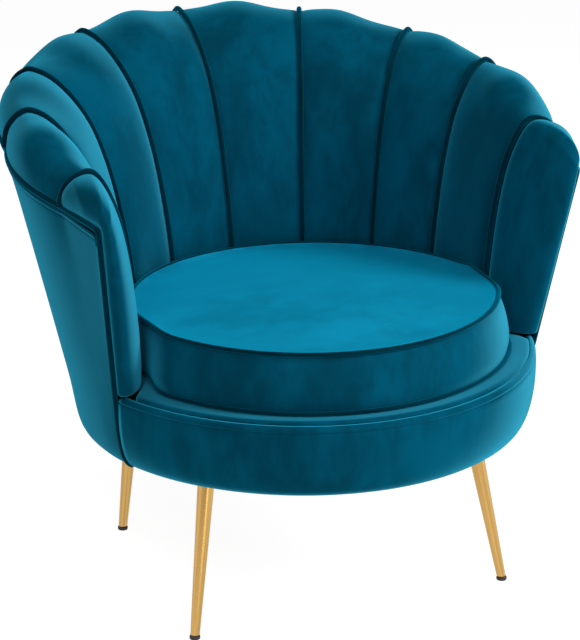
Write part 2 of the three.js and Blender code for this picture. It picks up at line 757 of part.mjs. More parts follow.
function addDustCover() {
  const top = RING_BOTTOM - CLEARANCE;
  const bottom = top - DUST_COVER_THICKNESS;
  const rim = (angle) => baseRadius(angle) - EDGE_TUCK - ROUND_CLEARANCE;
  const sheet = disc([[rim, () => bottom], [rim, () => top]], RING_SEGMENTS);
  add("dust_cover", drilled(solid(sheet), bottom, top), MATERIALS.lining);
}

function addWebbing() {
  const first = RING_TOP + CLEARANCE + WEBBING_THICKNESS / 2;
  const second = first + WEBBING_THICKNESS + CLEARANCE;
  for (const [number, side] of [[1, -1], [2, 1]]) {
    const place = (side * WEBBING_SPACING) / 2;
    const long = new THREE.BoxGeometry(WEBBING_WIDTH, WEBBING_LENGTH, WEBBING_THICKNESS);
    const cross = new THREE.BoxGeometry(WEBBING_LENGTH, WEBBING_WIDTH, WEBBING_THICKNESS);
    add(`seat_webbing_long_${number}`, long.translate(place, BASE_REAR_EXTRA / 4, first), MATERIALS.webbing);
    add(`seat_webbing_cross_${number}`, cross.translate(0, place, second), MATERIALS.webbing);
  }
}

// Inner frame: plywood ribs in the planes of five seams, notched for the top rail
function railRings(width, below, above) {
  const half = [];
  for (let place = 0; place <= LAST_SEAM; place += 1 / RAIL_STEPS) {
    const angle = tableAt(SEAM_ANGLES, place);
    const reach = BACK_REACH * tableAt(CREST_REACH_SHARES, place) + RAIL_OFFSET;
    const top = SHELL_START + BACK_RISE * tableAt(CREST_RISE_SHARES, place) - PAD_THICKNESS - RAIL_GAP;
    half.push([
      polar(angle, reach - width / 2, top - below),
      polar(angle, reach + width / 2, top - below),
      polar(angle, reach + width / 2, top + above),
      polar(angle, reach - width / 2, top + above),
    ]);
  }
  return bothSides(half);
}

function rib(k) {
  const section = seamSections[k];
  const angle = SEAM_ANGLES[k];
  const depth = PAD_THICKNESS + (k < LAST_SEAM ? RIB_CLEARANCE : ARM_RIB_CLEARANCE);
  const shift = k < LAST_SEAM ? -PLY_THICKNESS / 2 : -PLY_THICKNESS - RIB_CLEARANCE;
  const rim = baseRadius(angle) - FRAME_INSET;
  const foot = RING_TOP + CLEARANCE;
  const points = [];
  for (let station = 0; station < CREST_STATION; station += 0.5) {
    const p = section.getPoint(station / LAST_STATION);
    const t = section.getTangent(station / LAST_STATION);
    points.push(new THREE.Vector2(p.x + t.y * depth, p.y - t.x * depth));
  }
  const end = section.getPoint(1);
  const knee = new THREE.Vector2(baseRadius(angle), BASE_UNDERSIDE + KNEE_HEIGHT);
  const gap = COVER_THICKNESS + COVER_CLEARANCE;
  const coverAt = (z) => mix(knee.x, end.x, (z - knee.y) / (end.y - knee.y)) - gap;
  const lip = end.y - ROLL_DROP / 2;
  const heel = foot + PLY_THICKNESS;
  const outline = [
    new THREE.Vector2(points[0].x, foot),
    ...points,
    new THREE.Vector2(coverAt(lip), lip),
    new THREE.Vector2(coverAt(heel), heel),
    new THREE.Vector2(rim, foot),
  ];
  const options = { depth: PLY_THICKNESS, bevelEnabled: false };
  const plate = new THREE.ExtrudeGeometry(new THREE.Shape(outline), options);
  plate.translate(0, 0, shift).rotateX(Math.PI / 2).rotateZ((90 - angle) * DEG);
  const notch = loft(railRings(RAIL_WIDTH + 2 * NOTCH_CLEARANCE, RAIL_HEIGHT + NOTCH_CLEARANCE, CUT_OVERRUN));
  return fromSolid(solid(plate).subtract(solid(notch)));
}

function addFrame() {
  add("back_rib_center", rib(0), MATERIALS.plywood);
  for (const [k, place] of [[2, "rear"], [4, "arm"]]) {
    const geometry = rib(k);
    add(`${place}_rib_right`, geometry, MATERIALS.plywood);
    add(`${place}_rib_left`, mirrored(geometry), MATERIALS.plywood);
  }
  add("top_rail", loft(railRings(RAIL_WIDTH, RAIL_HEIGHT, 0)), MATERIALS.plywood);
}

// Seat cushion: crowned top, sides that draw in to the two piped seams
function held(angle) {
  const away = Math.abs(angle > 180 ? angle - 360 : angle);
  return 1 - THREE.MathUtils.smoothstep(away, CUSHION_HELD_ANGLE, CUSHION_FREE_ANGLE);
}

function behind(angle) {
  return Math.max(0, Math.cos(angle * DEG)) ** CUSHION_REAR_POWER;
}

// Radius at which the back's cords hold the cushion's lower seam in
function heldRadius() {
  const well = WELL_RADIUS * Math.min(...WELL_RADIUS_SHARES);
  return well - CORD_LIFT - CORD_RADIUS - CUSHION_CORD_RADIUS - CLEARANCE;
}

function topSeam(angle) {
  const free = WELL_RADIUS - CUSHION_TOP_INSET;
  const pressed = heldRadius() - CUSHION_TOP_DRAW;
  return mix(free, pressed, held(angle)) - CUSHION_REAR_DRAW * behind(angle);
}

function topSeamHeight(angle) {
  return DECK_TOP + CUSHION_HEIGHT - CUSHION_REAR_FALL * behind(angle);
}

function bottomSeam(angle) {
  return mix(WELL_RADIUS + CUSHION_BOTTOM_REACH, heldRadius(), held(angle));
}

function bottomSeamHeight() {
  return DECK_TOP + CUSHION_CORD_RADIUS + 2 * CLEARANCE;
}

function cushionSide(share) {
  return [
    (angle) => {
      const bulge = CUSHION_BULGE * (1 - held(angle)) * Math.sin(Math.PI * share);
      return mix(bottomSeam(angle), topSeam(angle), share) + bulge;
    },
    (angle) => mix(bottomSeamHeight(), topSeamHeight(angle), share),
  ];
}

function cushionCrown(share) {
  const rise = CUSHION_CORD_RADIUS + (CUSHION_CROWN - CUSHION_CORD_RADIUS) * (1 - share ** 2);
  return [
    (angle) => (topSeam(angle) - CUSHION_GROOVE) * share,
    (angle) => mix(topSeamHeight(90), topSeamHeight(angle), share ** 2) + rise,
  ];
}

// Floor of the groove that a cord lies in
function cushionGroove(seam, height) {
  return [-1, 1].map((side) => [
    (angle) => seam(angle) - CUSHION_GROOVE,
    (angle) => height(angle) + (side * CUSHION_CORD_RADIUS) / 2,
  ]);
}

function addCushion() {
  const foot = DECK_TOP + CLEARANCE;
  const levels = [
    [(angle) => bottomSeam(angle) - 4 * CUSHION_CORD_RADIUS, () => foot],
    [(angle) => bottomSeam(angle) - 2 * CUSHION_CORD_RADIUS, () => foot + CUSHION_CORD_RADIUS / 4],
    ...cushionGroove(bottomSeam, bottomSeamHeight),
    ...CUSHION_SIDE_SHARES.map(cushionSide),
    ...cushionGroove(topSeam, topSeamHeight),
    ...CUSHION_CROWN_SHARES.map(cushionCrown),
  ];
  add("seat_cushion", disc(levels, CUSHION_SEGMENTS), MATERIALS.cushionVelvet);
  add("cushion_piping_top", cushionCord(topSeam, topSeamHeight), MATERIALS.piping);
  add("cushion_piping_bottom", cushionCord(bottomSeam, bottomSeamHeight), MATERIALS.piping);
}

function cushionCord(seam, height) {
  const rings = [];
  for (let i = 0; i < CUSHION_SEGMENTS; i++) {
    const angle = (360 * i) / CUSHION_SEGMENTS;
    const points = [];
    for (let j = 0; j < CORD_SIDES; j++) {
      const turn = (2 * Math.PI * j) / CORD_SIDES;
      const radius = seam(angle) + CUSHION_CORD_RADIUS * Math.cos(turn);
      points.push(polar(angle, radius, height(angle) + CUSHION_CORD_RADIUS * Math.sin(turn)));
    }
    rings.push(points);
  }
  return loft(rings, true);
}

// Legs: tapered tubes welded to oval plates, each plugged by a foot cap
function legPlaces() {
  const places = [];
  for (const [side, word] of [[-1, "left"], [1, "right"]]) {
    places.push(
      legPlace(`leg_front_${word}`, side, FRONT_FOOT_X, FRONT_FOOT_Y, FRONT_LEG_SPLAY_X, FRONT_LEG_SPLAY_Y),
      legPlace(`leg_rear_${word}`, side, REAR_FOOT_X, REAR_FOOT_Y, REAR_LEG_SPLAY_X, REAR_LEG_SPLAY_Y),
    );
  }
  return places;
}

function legPlace(name, side, x, y, splayX, splayY) {
  const foot = new THREE.Vector3(side * x, y, 0);
  const top = new THREE.Vector3(side * (x - splayX), y - splayY, BASE_UNDERSIDE);
  const along = new THREE.Vector3(-top.y, top.x, 0).normalize();
  return { name, foot, top, along };
}

function onLeg(leg, radius, z, sides) {
  const centre = leg.foot.clone().lerp(leg.top, z / BASE_UNDERSIDE);
  const points = [];
  for (let i = 0; i < sides; i++) {
    const turn = (2 * Math.PI * i) / sides;
    points.push(new THREE.Vector3(centre.x + radius * Math.cos(turn), centre.y + radius * Math.sin(turn), z));
  }
  return points;
}

function addLegs() {
  const plateTop = RING_BOTTOM - 2 * CLEARANCE - DUST_COVER_THICKNESS;
  const plateBottom = plateTop - PLATE_THICKNESS;
  const tubeFoot = CAP_HEIGHT + CLEARANCE;
  for (const leg of legPlaces()) {
    const tube = loft([
      onLeg(leg, LEG_FOOT_RADIUS, tubeFoot, LEG_SIDES),
      onLeg(leg, LEG_TOP_RADIUS, plateBottom + PLATE_THICKNESS / 2, LEG_SIDES),
    ]);
    const bore = loft([
      onLeg(leg, BORE_RADIUS, CAP_HEIGHT / 2, LEG_SIDES),
      onLeg(leg, BORE_RADIUS, tubeFoot + BORE_DEPTH, LEG_SIDES),
    ]);
    const body = solid(legPlate(leg, plateBottom)).add(solid(tube)).subtract(solid(bore));
    add(leg.name, drilled(body, plateBottom, plateTop), MATERIALS.brass);
    add(leg.name.replace("leg", "foot_cap"), footCap(leg), MATERIALS.rubber);
  }
  for (const { name, x, y } of boltPlaces()) {
    add(name, bolt(plateBottom - CLEARANCE, x, y), MATERIALS.steel);
  }
}

function legPlate(leg, bottom) {
  const shape = new THREE.Shape();
  shape.absellipse(0, 0, PLATE_LENGTH / 2, PLATE_WIDTH / 2, 0, 2 * Math.PI);
  const options = { depth: PLATE_THICKNESS, bevelEnabled: false, curveSegments: LEG_SIDES };
  const plate = new THREE.ExtrudeGeometry(shape, options);
  return plate.rotateZ(Math.atan2(leg.along.y, leg.along.x)).translate(leg.top.x, leg.top.y, bottom);
}

function footCap(leg) {
  const centre = leg.foot.clone().lerp(leg.top, CAP_HEIGHT / BASE_UNDERSIDE / 2);
  const profile = CAP_PROFILE_SHARES.map(
    ([across, up]) => new THREE.Vector2(CAP_RADIUS * across, CAP_HEIGHT * up),
  );
  const button = new THREE.LatheGeometry(profile, LEG_SIDES).rotateX(Math.PI / 2);
  button.translate(centre.x, centre.y, 0);
  const stem = loft([
    onLeg(leg, CAP_STEM_RADIUS, CAP_HEIGHT / 2, LEG_SIDES),
    onLeg(leg, CAP_STEM_RADIUS, CAP_HEIGHT + CAP_STEM_LENGTH, LEG_SIDES),
  ]);
  return fromSolid(solid(button).add(solid(stem)));
}

function bolt(headTop, x, y) {
  const tip = RING_BOTTOM + BOLT_BITE;
  const profile = [
    new THREE.Vector2(0, headTop - BOLT_HEAD_HEIGHT),
    new THREE.Vector2(BOLT_HEAD_RADIUS - BOLT_RADIUS / 2, headTop - BOLT_HEAD_HEIGHT),
    new THREE.Vector2(BOLT_HEAD_RADIUS, headTop - BOLT_HEAD_HEIGHT / 2),
    new THREE.Vector2(BOLT_HEAD_RADIUS, headTop),
    new THREE.Vector2(BOLT_RADIUS, headTop),
    new THREE.Vector2(BOLT_RADIUS, tip - BOLT_RADIUS),
    new THREE.Vector2(0, tip),
  ];
  return new THREE.LatheGeometry(profile, BOLT_SIDES).rotateX(Math.PI / 2).translate(x, y, 0);
}

addBack();
addEdgeWelt();
addOuterCover();
addApron();
addDeck();
addRings();
addDustCover();
addWebbing();
addFrame();
addCushion();
addLegs();

// The origin is on the floor under the middle of the whole chair
const extent = new THREE.Box3().setFromObject(chair, true);
chair.position.y = -(extent.min.y + extent.max.y) / 2;

export default chair;
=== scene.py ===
"""Looks for a scallop back tub chair: padded velvet channels between corded seams, a loose round
seat cushion and four splayed brass legs.

Lengths are metres. Shapes are worked out about the seat cushion's upright axis, and mesh_object()
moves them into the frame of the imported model. Angles round the shell start straight behind the
seat and grow towards the arm on the +X side. The chair faces -Y.
"""

import math

import bpy
import numpy as np
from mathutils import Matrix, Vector


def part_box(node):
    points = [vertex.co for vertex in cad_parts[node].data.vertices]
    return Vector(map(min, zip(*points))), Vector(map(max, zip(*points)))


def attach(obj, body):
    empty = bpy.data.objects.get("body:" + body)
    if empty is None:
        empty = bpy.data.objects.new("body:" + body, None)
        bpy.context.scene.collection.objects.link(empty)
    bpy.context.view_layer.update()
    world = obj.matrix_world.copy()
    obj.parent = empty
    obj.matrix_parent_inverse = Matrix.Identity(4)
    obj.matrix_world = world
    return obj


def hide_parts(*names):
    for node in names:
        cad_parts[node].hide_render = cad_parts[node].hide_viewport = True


bl_info = {
    "name": "Scallop back tub chair",
    "version": (1, 0, 0),
    "blender": (4, 5, 0),
    "location": "View3D > Sidebar > Tub chair",
    "description": "Builds a channelled velvet tub chair round its packed frame",
    "category": "Object",
}

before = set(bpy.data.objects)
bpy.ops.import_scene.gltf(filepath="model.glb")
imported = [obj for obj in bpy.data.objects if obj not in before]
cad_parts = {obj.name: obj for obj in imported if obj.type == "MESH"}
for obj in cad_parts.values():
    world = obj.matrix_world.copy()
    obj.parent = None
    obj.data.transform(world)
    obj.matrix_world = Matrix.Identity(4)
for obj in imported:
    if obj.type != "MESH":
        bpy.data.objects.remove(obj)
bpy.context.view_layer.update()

# The seat cushion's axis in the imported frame
SEAT_AXIS_Y = -0.106

# Sizes shared with the CAD frame
DECK_TOP = 0.366
DECK_BOTTOM = 0.354
BASE_UNDERSIDE = 0.251
SHELL_START = 0.3663
SEAM_ANGLES = (0, 22.5, 45, 67, 96)
LAST_SEAM = 4
WELL_RADII = (0.29088, 0.288, 0.28368, 0.28368, 0.28368)
CREST_REACHES = (0.505, 0.47672, 0.442885, 0.40198, 0.3535)
CREST_RISES = (0.405, 0.39933, 0.38313, 0.36207, 0.317115)
ROLL_DROPS = (0.05, 0.05, 0.05, 0.055, 0.04)
ROLL_REACHES = (0.038, 0.038, 0.038, 0.038, 0.0437)
ROLL_STEPS = 3
FACE_SHARES = (
    (0, 0), (0, 0.14), (0.075, 0.35), (0.2, 0.575), (0.37, 0.76), (0.56, 0.88), (0.78, 0.965), (1, 1),
)
CREST_STATION = 7
LAST_STATION = 10
CORD_LIFT = 0.0016
WELT_SINK = 0.0016
COVER_GAP = 0.0008
CLEARANCE = 0.0003  # between pieces that touch
ROUND_CLEARANCE = 0.0009  # between faces that curve round the seat
APRON_GAP = 0.0001  # from the welt to the apron's ends
SEW_INSET = 0.001  # from a seam to the edge of the velvet beside it

# Stations before the crest over which its humps grow, and those kept as they are at either end of
# the rolled edge
CREST_BLEND = 3
ROLL_EASE = 0.6
# How round a channel is across its face and on the rolled edge, and where in that its hump starts
FACE_ROUNDNESS = 0.7
ROLL_ROUNDNESS = 1.4
HUMP_EDGE = 0.35

# The channels' rise along their length, and by panel how much of it is left on the rolled edge
RISE_SHARES = (0.2, 0.25, 0.6, 0.8, 0.95, 1, 1, 1, 1, 0.8, 0.6)
ROLL_SHARES = (1, 0.8, 0.7, 0.95)
# Humps at the crest by panel: height as a share of that rise, place across and width; and the dips
# of the seams there, as shares of it too
CREST_HUMPS = ((0.96, 0.47, 0.25), (0.73, 0.33, 0.24), (0.62, 0.33, 0.26), (1.12, 0.42, 0.26))
SEAM_DIPS = (0.23, 0.12, 0.3, 0.14, 0)

# Arm front: handles of its curves in shares of its depth, sideways, forwards and upwards
ARM_FRONT_ANGLE = 104.5
ARM_CORNER = Vector((0.375, -0.14, 0.63))
ARM_DEPTH = 0.066
ARM_WELT_THICKNESS = 0.45  # of the padding, left where it meets the welt
ARM_SEAM_SHARES = (
    (0.06, -1, 0), (0.06, -1, 0), (0.08, -1, 0), (0.1, -1, 0), (0.12, -1, 0), (0.12, -0.95, 0),
    (0.14, -0.95, 0.06), (0.18, -0.85, 0.1), (0.18, -0.5, 0.1), (0.1, -0.24, 0.05), (0, 0, 0),
)
ARM_WELT_SHARES = (
    (-0.08, -0.5, 0), (-0.1, -0.62, 0), (-0.16, -0.78, 0), (-0.2, -0.88, 0), (-0.22, -0.95, 0.04),
    (-0.24, -0.95, 0.14), (-0.2, -0.85, 0.42), (-0.02, -0.48, 0.66), (0.16, -0.2, 0.56),
    (0.1, 0, 0.26), (0, 0, 0),
)

# Base: its radius at the front and sides, and how it grows towards the back
BASE_RADIUS = 0.336
BASE_REAR_GROWTH = 0.04
BASE_GROWTH_POWER = 1.35
KNEE_HEIGHT = 0.084
KNEE_INSET = 0.025
KNEE_PULL = 0.55
EDGE_TUCK = 0.042
COVER_FADE_POWER = 2.5
COVER_CORNER_DROP = 0.004
COVER_EASED_FROM = 12  # row of the cover's columns from which they are eased sideways
# Folded edge of the outer cover: distance from the welt, and how proud it stands as a share
EDGE_FOLD = (
    (0, 0), (0.001, 0.6), (0.0022, 0.95), (0.004, 1), (0.0058, 0.95), (0.007, 0.75), (0.0076, 0.1),
    (0.0082, -0.5), (0.009, -0.35), (0.0105, -0.1), (0.0125, 0), (0.017, 0), (0.025, 0),
)
# Corner of the cover at the arm's front, rounded for the welt: place along the arm, and drop
COVER_CORNER = ((0.955, 0.0004), (0.975, 0.0025), (0.99, 0.006), (1, 0.011))
# Sewn top of the apron: distance in from its face and down from its top, with a stitched crease
APRON_TOP = (
    (0.0096, 0), (0.007, 0.0003), (0.0046, 0.0012), (0.0026, 0.0028), (0.0013, 0.0048), (0.0008, 0.0066),
    (0.0014, 0.0078), (0.0026, 0.0086), (0.0014, 0.0094), (0.0006, 0.0108), (0.0002, 0.013), (0, 0.016),
)
DECK_INSET = 0.0105
DECK_SIDE_RADIUS = 0.2955
DECK_ROUND_WIDTH = 0.009
DECK_ROUND_HEIGHT = 0.0045
WALL_INSET = 0.0261
APRON_CLOTH = 0.003

# Cushion
TOP_SEAM_Z = 0.451
BOTTOM_SEAM_Z = 0.3698
HELD_RADIUS = 0.27458
FREE_TOP_RADIUS = 0.285
FREE_BOTTOM_RADIUS = 0.303
CUSHION_REAR_DRAW = 0.02
CUSHION_REAR_FALL = 0.01
CUSHION_HELD_TO, CUSHION_FREE_FROM = 97, 116  # angles between which the arms let the cushion out
BOXING_INSET = 0.0035  # from a cord's centre to the velvet beside it
BOXING_BULGE = 0.004

# Legs: end, foot sideways and forwards or back, and splay in both; their oval plates and their caps
LEG_LINES = (("front", 0.252, -0.165, 0.04, -0.042), ("rear", 0.21, 0.249, 0.01, 0.04))
LEG_FOOT_Z = 0.0063
WELD_FILLET = 0.004
PLATE_HALF_LENGTH, PLATE_HALF_WIDTH, PLATE_THICKNESS = 0.042, 0.021, 0.003
PLATE_BEVEL = 0.0008
CAP_RADIUS, CAP_HEIGHT, CAP_STEM_RADIUS = 0.008, 0.006, 0.0049
CAP_PROFILE = (
    (0.5, 0), (0.78, 0), (0.92, 0.06), (0.99, 0.2), (1, 0.45), (0.98, 0.75), (0.9, 0.94), (0.75, 1),
)

# Cloth simulation of the stuffing
STUFFING_PRESSURE = 4.0
SWELL_FRAMES = 20


def length(name, description, default, lowest=0.0):
    return bpy.props.FloatProperty(
        name=name, description=description, default=default, min=lowest, unit="LENGTH",
    )


def power(name, description, default):
    return bpy.props.FloatProperty(
        name=name, description=description, default=default, min=0, unit="POWER",
    )


def linear(code):
    """Linear colour of an sRGB hex value such as 1a2b3c."""
    parts = [int(code[i : i + 2], 16) / 255 for i in (0, 2, 4)]
    return tuple(c / 12.92 if c <= 0.04045 else ((c + 0.055) / 1.055) ** 2.4 for c in parts)


def colour(name, description, code):
    return bpy.props.FloatVectorProperty(
        name=name, description=description, subtype="COLOR", size=3, min=0, max=1, default=linear(code),
    )


class ChairBack(bpy.types.PropertyGroup):
    rise: length("Channel rise", "How far a channel stands proud of its seams", 0.013)
    thickness: length("Padding", "Thickness of the channels' padding", 0.015, 0.004)
    dip: length("Seam dip", "How far the velvet is pulled in beside the cords at the crest", 0.005)
    cord_radius: length("Cord radius", "Radius of the corded piping in the seams", 0.004, 0.001)
    swell: length("Swell", "How far the stuffing may push the velvet out", 0.006)


class ChairCover(bpy.types.PropertyGroup):
    thickness: length("Thickness", "Thickness of the outer cover and its wadding", 0.003, 0.0005)
    bead: length("Edge fold", "How far the folded top edge of the outer cover stands proud", 0.002)


class ChairCushion(bpy.types.PropertyGroup):
    crown: length("Crown", "Rise of the cushion's middle over its top seam before it swells", 0.024)
    swell: length("Swell", "How far the filling may push the cushion's velvet out", 0.012)
    cord_radius: length("Cord radius", "Radius of the cushion's piping", 0.0032, 0.001)


class ChairLegs(bpy.types.PropertyGroup):
    top_radius: length("Top radius", "Radius of a leg under its plate", 0.013, 0.004)
    foot_radius: length("Foot radius", "Radius of a leg at its foot", 0.007, 0.003)


class ChairColours(bpy.types.PropertyGroup):
    velvet: colour("Velvet", "Velvet of the shell and base", "004a62")
    # Paler than the shell's velvet and used only on the cushion's top panel: painted light on the seat's top
    cushion: colour("Cushion velvet", "Velvet of the seat cushion", "0c84a8")
    # Painted sheen: the lighter colour that the velvet is painted where it is seen at a grazing angle
    painted_sheen: colour("Velvet, glancing", "Velvet seen along its surface", "389cb8")
    # Same velvet as the shell, painted darker: painted shade on the cords
    piping: colour("Piping", "Velvet round the cords", "002734")
    brass: colour("Brass", "Brushed brass plating of the legs", "cfa561")


class ChairStage(bpy.types.PropertyGroup):
    key: power("Key light", "Power of the softbox high on the right", 74)
    front: power("Front light", "Power of the low softbox in front", 26)
    fill: power("Fill light", "Power of the softbox high on the left", 30)
    top: power("Top light", "Power of the softbox overhead", 8)
    rim: power("Rim light", "Power of the softbox behind on the left", 12)
    ambient: bpy.props.FloatProperty(
        name="Ambient", description="Strength of the studio's walls as a light",
        default=0.05, min=0,
    )


# Shapes of the shell


def mix(a, b, share):
    return a + (b - a) * share


def smoothstep(x, low, high):
    t = min(1.0, max(0.0, (x - low) / (high - low)))
    return t * t * (3 - 2 * t)


def polar(angle, radius, z):
    a = math.radians(angle)
    return Vector((radius * math.sin(a), radius * math.cos(a), z))


def table_at(table, place):
    """Value of a table at a place between its rows."""
    low = min(int(place), len(table) - 2)
    a, b = np.array(table[low], float), np.array(table[low + 1], float)
    return a + (b - a) * (place - low)


def seam_points(k):
    points = [
        (mix(WELL_RADII[k], CREST_REACHES[k], out), SHELL_START + CREST_RISES[k] * up)
        for out, up in FACE_SHARES
    ]
    for i in range(1, ROLL_STEPS + 1):
        turn = math.pi / 2 * i / ROLL_STEPS
        fall = ROLL_DROPS[k] * (1 - math.cos(turn))
        reach = CREST_REACHES[k] + ROLL_REACHES[k] * math.sin(turn)
        points.append((reach, SHELL_START + CREST_RISES[k] - fall))
    return np.array(points)


SEAMS = [seam_points(k) for k in range(LAST_SEAM + 1)]


def seam_at(k, station):
    """(radius, height) of a seam at a station along it, and its direction there."""
    points = SEAMS[k]
    last = len(points) - 1
    i = min(int(station), last - 1)
    t = station - i
    p0, p1, p2, p3 = points[max(i - 1, 0)], points[i], points[i + 1], points[min(i + 2, last)]
    v0, v1 = (p2 - p0) / 2, (p3 - p1) / 2
    a, b = 2 * p1 - 2 * p2 + v0 + v1, -3 * p1 + 3 * p2 - 2 * v0 - v1
    tangent = 3 * a * t * t + 2 * b * t + v0
    return a * t**3 + b * t * t + v0 * t + p1, tangent / np.linalg.norm(tangent)


def back_frame(panel, station, across):
    """Place on the back between two seams, with its directions along the seam and out of the face,
    and the width between the seams."""
    (a, ta), (b, tb) = seam_at(panel, station), seam_at(panel + 1, station)
    low, high = SEAM_ANGLES[panel], SEAM_ANGLES[panel + 1]
    angle, radius = mix(low, high, across), mix(a[0], b[0], across)
    side = polar(angle + 90, radius * math.radians(high - low), b[1] - a[1])
    side += polar(angle, b[0] - a[0], 0)
    up = polar(angle, mix(ta[0], tb[0], across), mix(ta[1], tb[1], across)).normalized()
    point = polar(angle, radius, mix(a[1], b[1], across))
    return point, up, side.cross(up).normalized(), side.length


def crest_share(station):
    return smoothstep(station, CREST_STATION - CREST_BLEND, CREST_STATION)


def roll_share(station):
    return smoothstep(station, CREST_STATION + ROLL_EASE, LAST_STATION - ROLL_EASE)


def lobe(panel, station, across, back):
    """Height of a channel over the line between its seams, with the velvet pulled in beside them."""
    crest = crest_share(station)
    bow = max(0.0, 1 - (2 * across - 1) ** 2)
    rise = back.rise * table_at(RISE_SHARES, station)
    height, place, width = CREST_HUMPS[panel]
    hump = back.rise * height * math.exp(-(((across - place) / width) ** 2)) * smoothstep(bow, 0, HUMP_EDGE)
    face = mix(rise * bow**FACE_ROUNDNESS, hump, crest)
    rolled = rise * ROLL_SHARES[panel] * bow**ROLL_ROUNDNESS
    pulled = back.dip * (1 - bow) ** 3 * mix(0.6, 0.4, crest)
    return mix(face, rolled, roll_share(station)) - pulled


def seam_out(k, up):
    return polar(SEAM_ANGLES[k] + 90, 1, 0).cross(up)


def seam_dip(panel, station, across, back):
    """How far and where to the seams pull a place near the crest in."""
    depth = back.rise * crest_share(station) * (1 - roll_share(station))
    dip = Vector((0, 0, 0))
    if depth:
        for k, share in ((panel, 1 - across), (panel + 1, across)):
            up = back_frame(panel, station, k - panel)[1]
            dip -= seam_out(k, up) * depth * SEAM_DIPS[k] * share
    return dip


def base_radius(angle):
    behind = (1 + math.cos(math.radians(angle))) / 2
    return BASE_RADIUS + BASE_REAR_GROWTH * behind**BASE_GROWTH_POWER


def knee_point(angle):
    return polar(angle, base_radius(angle), BASE_UNDERSIDE + KNEE_HEIGHT)


def bezier(p0, p1, p2, p3, t):
    u = 1 - t
    return p0 * u**3 + p1 * (3 * u * u * t) + p2 * (3 * u * t * t) + p3 * t**3


def knee_round(angle, above, steps):
    """Rounded lower edge of the base, which carries on from the point above the knee."""
    knee = knee_point(angle)
    edge = polar(angle, base_radius(angle) - KNEE_INSET, BASE_UNDERSIDE)
    fall = KNEE_HEIGHT * KNEE_PULL / (above.z - knee.z)
    start = knee + (knee - above) * fall
    end = edge + polar(angle, KNEE_INSET * KNEE_PULL, 0)
    return [bezier(knee, start, end, edge, i / steps) for i in range(1, steps + 1)]


def welt_point(panel, across, back):
    point, up, out, _ = back_frame(panel, LAST_STATION, across)
    proud = lobe(panel, LAST_STATION, across, back) - WELT_SINK
    return point + up * (back.cord_radius + CLEARANCE) + out * proud


def arm_welt(station, back):
    edge = welt_point(LAST_SEAM - 1, 1, back)
    if station > CREST_STATION:
        return ARM_CORNER.lerp(edge, (station - CREST_STATION) / (LAST_STATION - CREST_STATION))
    knee = knee_point(ARM_FRONT_ANGLE)
    height = mix(SHELL_START, ARM_CORNER.z, table_at(FACE_SHARES, station)[1])
    return knee.lerp(ARM_CORNER, (height - knee.z) / (ARM_CORNER.z - knee.z))


def arm_curve(station, back, count=120):
    """Points evenly spaced on the curve across the arm's channel, from its seam to the welt."""
    start = back_frame(LAST_SEAM - 1, station, 1)[0]
    end = arm_welt(station, back)
    first = start + Vector(table_at(ARM_SEAM_SHARES, station)) * ARM_DEPTH
    last = end + Vector(table_at(ARM_WELT_SHARES, station)) * ARM_DEPTH
    return resampled([bezier(start, first, last, end, i / 60) for i in range(61)], count)


def resampled(points, count):
    """The same line with that many evenly spaced points."""
    p = np.array(points, float)
    run = np.concatenate([[0], np.cumsum(np.linalg.norm(np.diff(p, axis=0), axis=1))])
    places = np.linspace(0, run[-1], count)
    return np.stack([np.interp(places, run, p[:, i]) for i in range(3)], axis=1)


def relaxed(points, rounds):
    """The same line with its corners eased."""
    p = np.array(points, float)
    for _ in range(rounds):
        p[1:-1] = p[1:-1] / 2 + (p[:-2] + p[2:]) / 4
    return p


# Meshes


def mesh_object(name, points, faces):
    """Object from points about the seat's axis, shaded smooth and with its faces outwards."""
    mesh = bpy.data.meshes.new(name)
    places = np.array(points, float) + (0, SEAT_AXIS_Y, 0)
    mesh.from_pydata([tuple(p) for p in places], [], faces)
    mesh.validate()
    mesh.shade_smooth()
    made = bpy.data.objects.new(name, mesh)
    bpy.context.scene.collection.objects.link(made)
    face_outwards(mesh)
    return made


def coordinates(mesh):
    co = np.zeros(len(mesh.vertices) * 3)
    mesh.vertices.foreach_get("co", co)
    return co.reshape(-1, 3)


def face_outwards(mesh):
    """Turns a closed mesh's faces over if they look inwards."""
    mesh.calc_loop_triangles()
    corners = np.zeros(len(mesh.loop_triangles) * 3, np.int32)
    mesh.loop_triangles.foreach_get("vertices", corners)
    a, b, c = coordinates(mesh)[corners].reshape(-1, 3, 3).transpose(1, 0, 2)
    if (a * np.cross(b, c)).sum() < 0:
        mesh.flip_normals()


def ring_faces(rings, count, closed):
    """Faces between rings of equal counts, and the two end faces of an open run of rings."""
    faces = []
    for i in range(rings if closed else rings - 1):
        here, there = i * count, (i + 1) % rings * count
        for j in range(count):
            k = (j + 1) % count
            faces.append((here + j, here + k, there + k, there + j))
    if not closed:
        faces.append(tuple(reversed(range(count))))
        faces.append(tuple(range((rings - 1) * count, rings * count)))
    return faces


def loft(name, rings, closed=False):
    count = len(rings[0])
    points = np.array([tuple(p) for ring in rings for p in ring])
    return mesh_object(name, points, ring_faces(len(rings), count, closed))


def pad(name, fronts, backs):
    """Closed pad between two skins, each a list of rows of points. Its ends are closed by quads."""
    count = len(fronts[0])
    rows = [list(front) + list(reversed(back)) for front, back in zip(fronts, backs)]
    faces = ring_faces(len(rows), 2 * count, False)[:-2]
    last = (len(rows) - 1) * 2 * count
    for j in range(count - 1):
        a, b, c, d = j, j + 1, 2 * count - 2 - j, 2 * count - 1 - j
        faces.append((d, c, b, a))
        faces.append((last + a, last + b, last + c, last + d))
    return mesh_object(name, [tuple(p) for row in rows for p in row], faces)


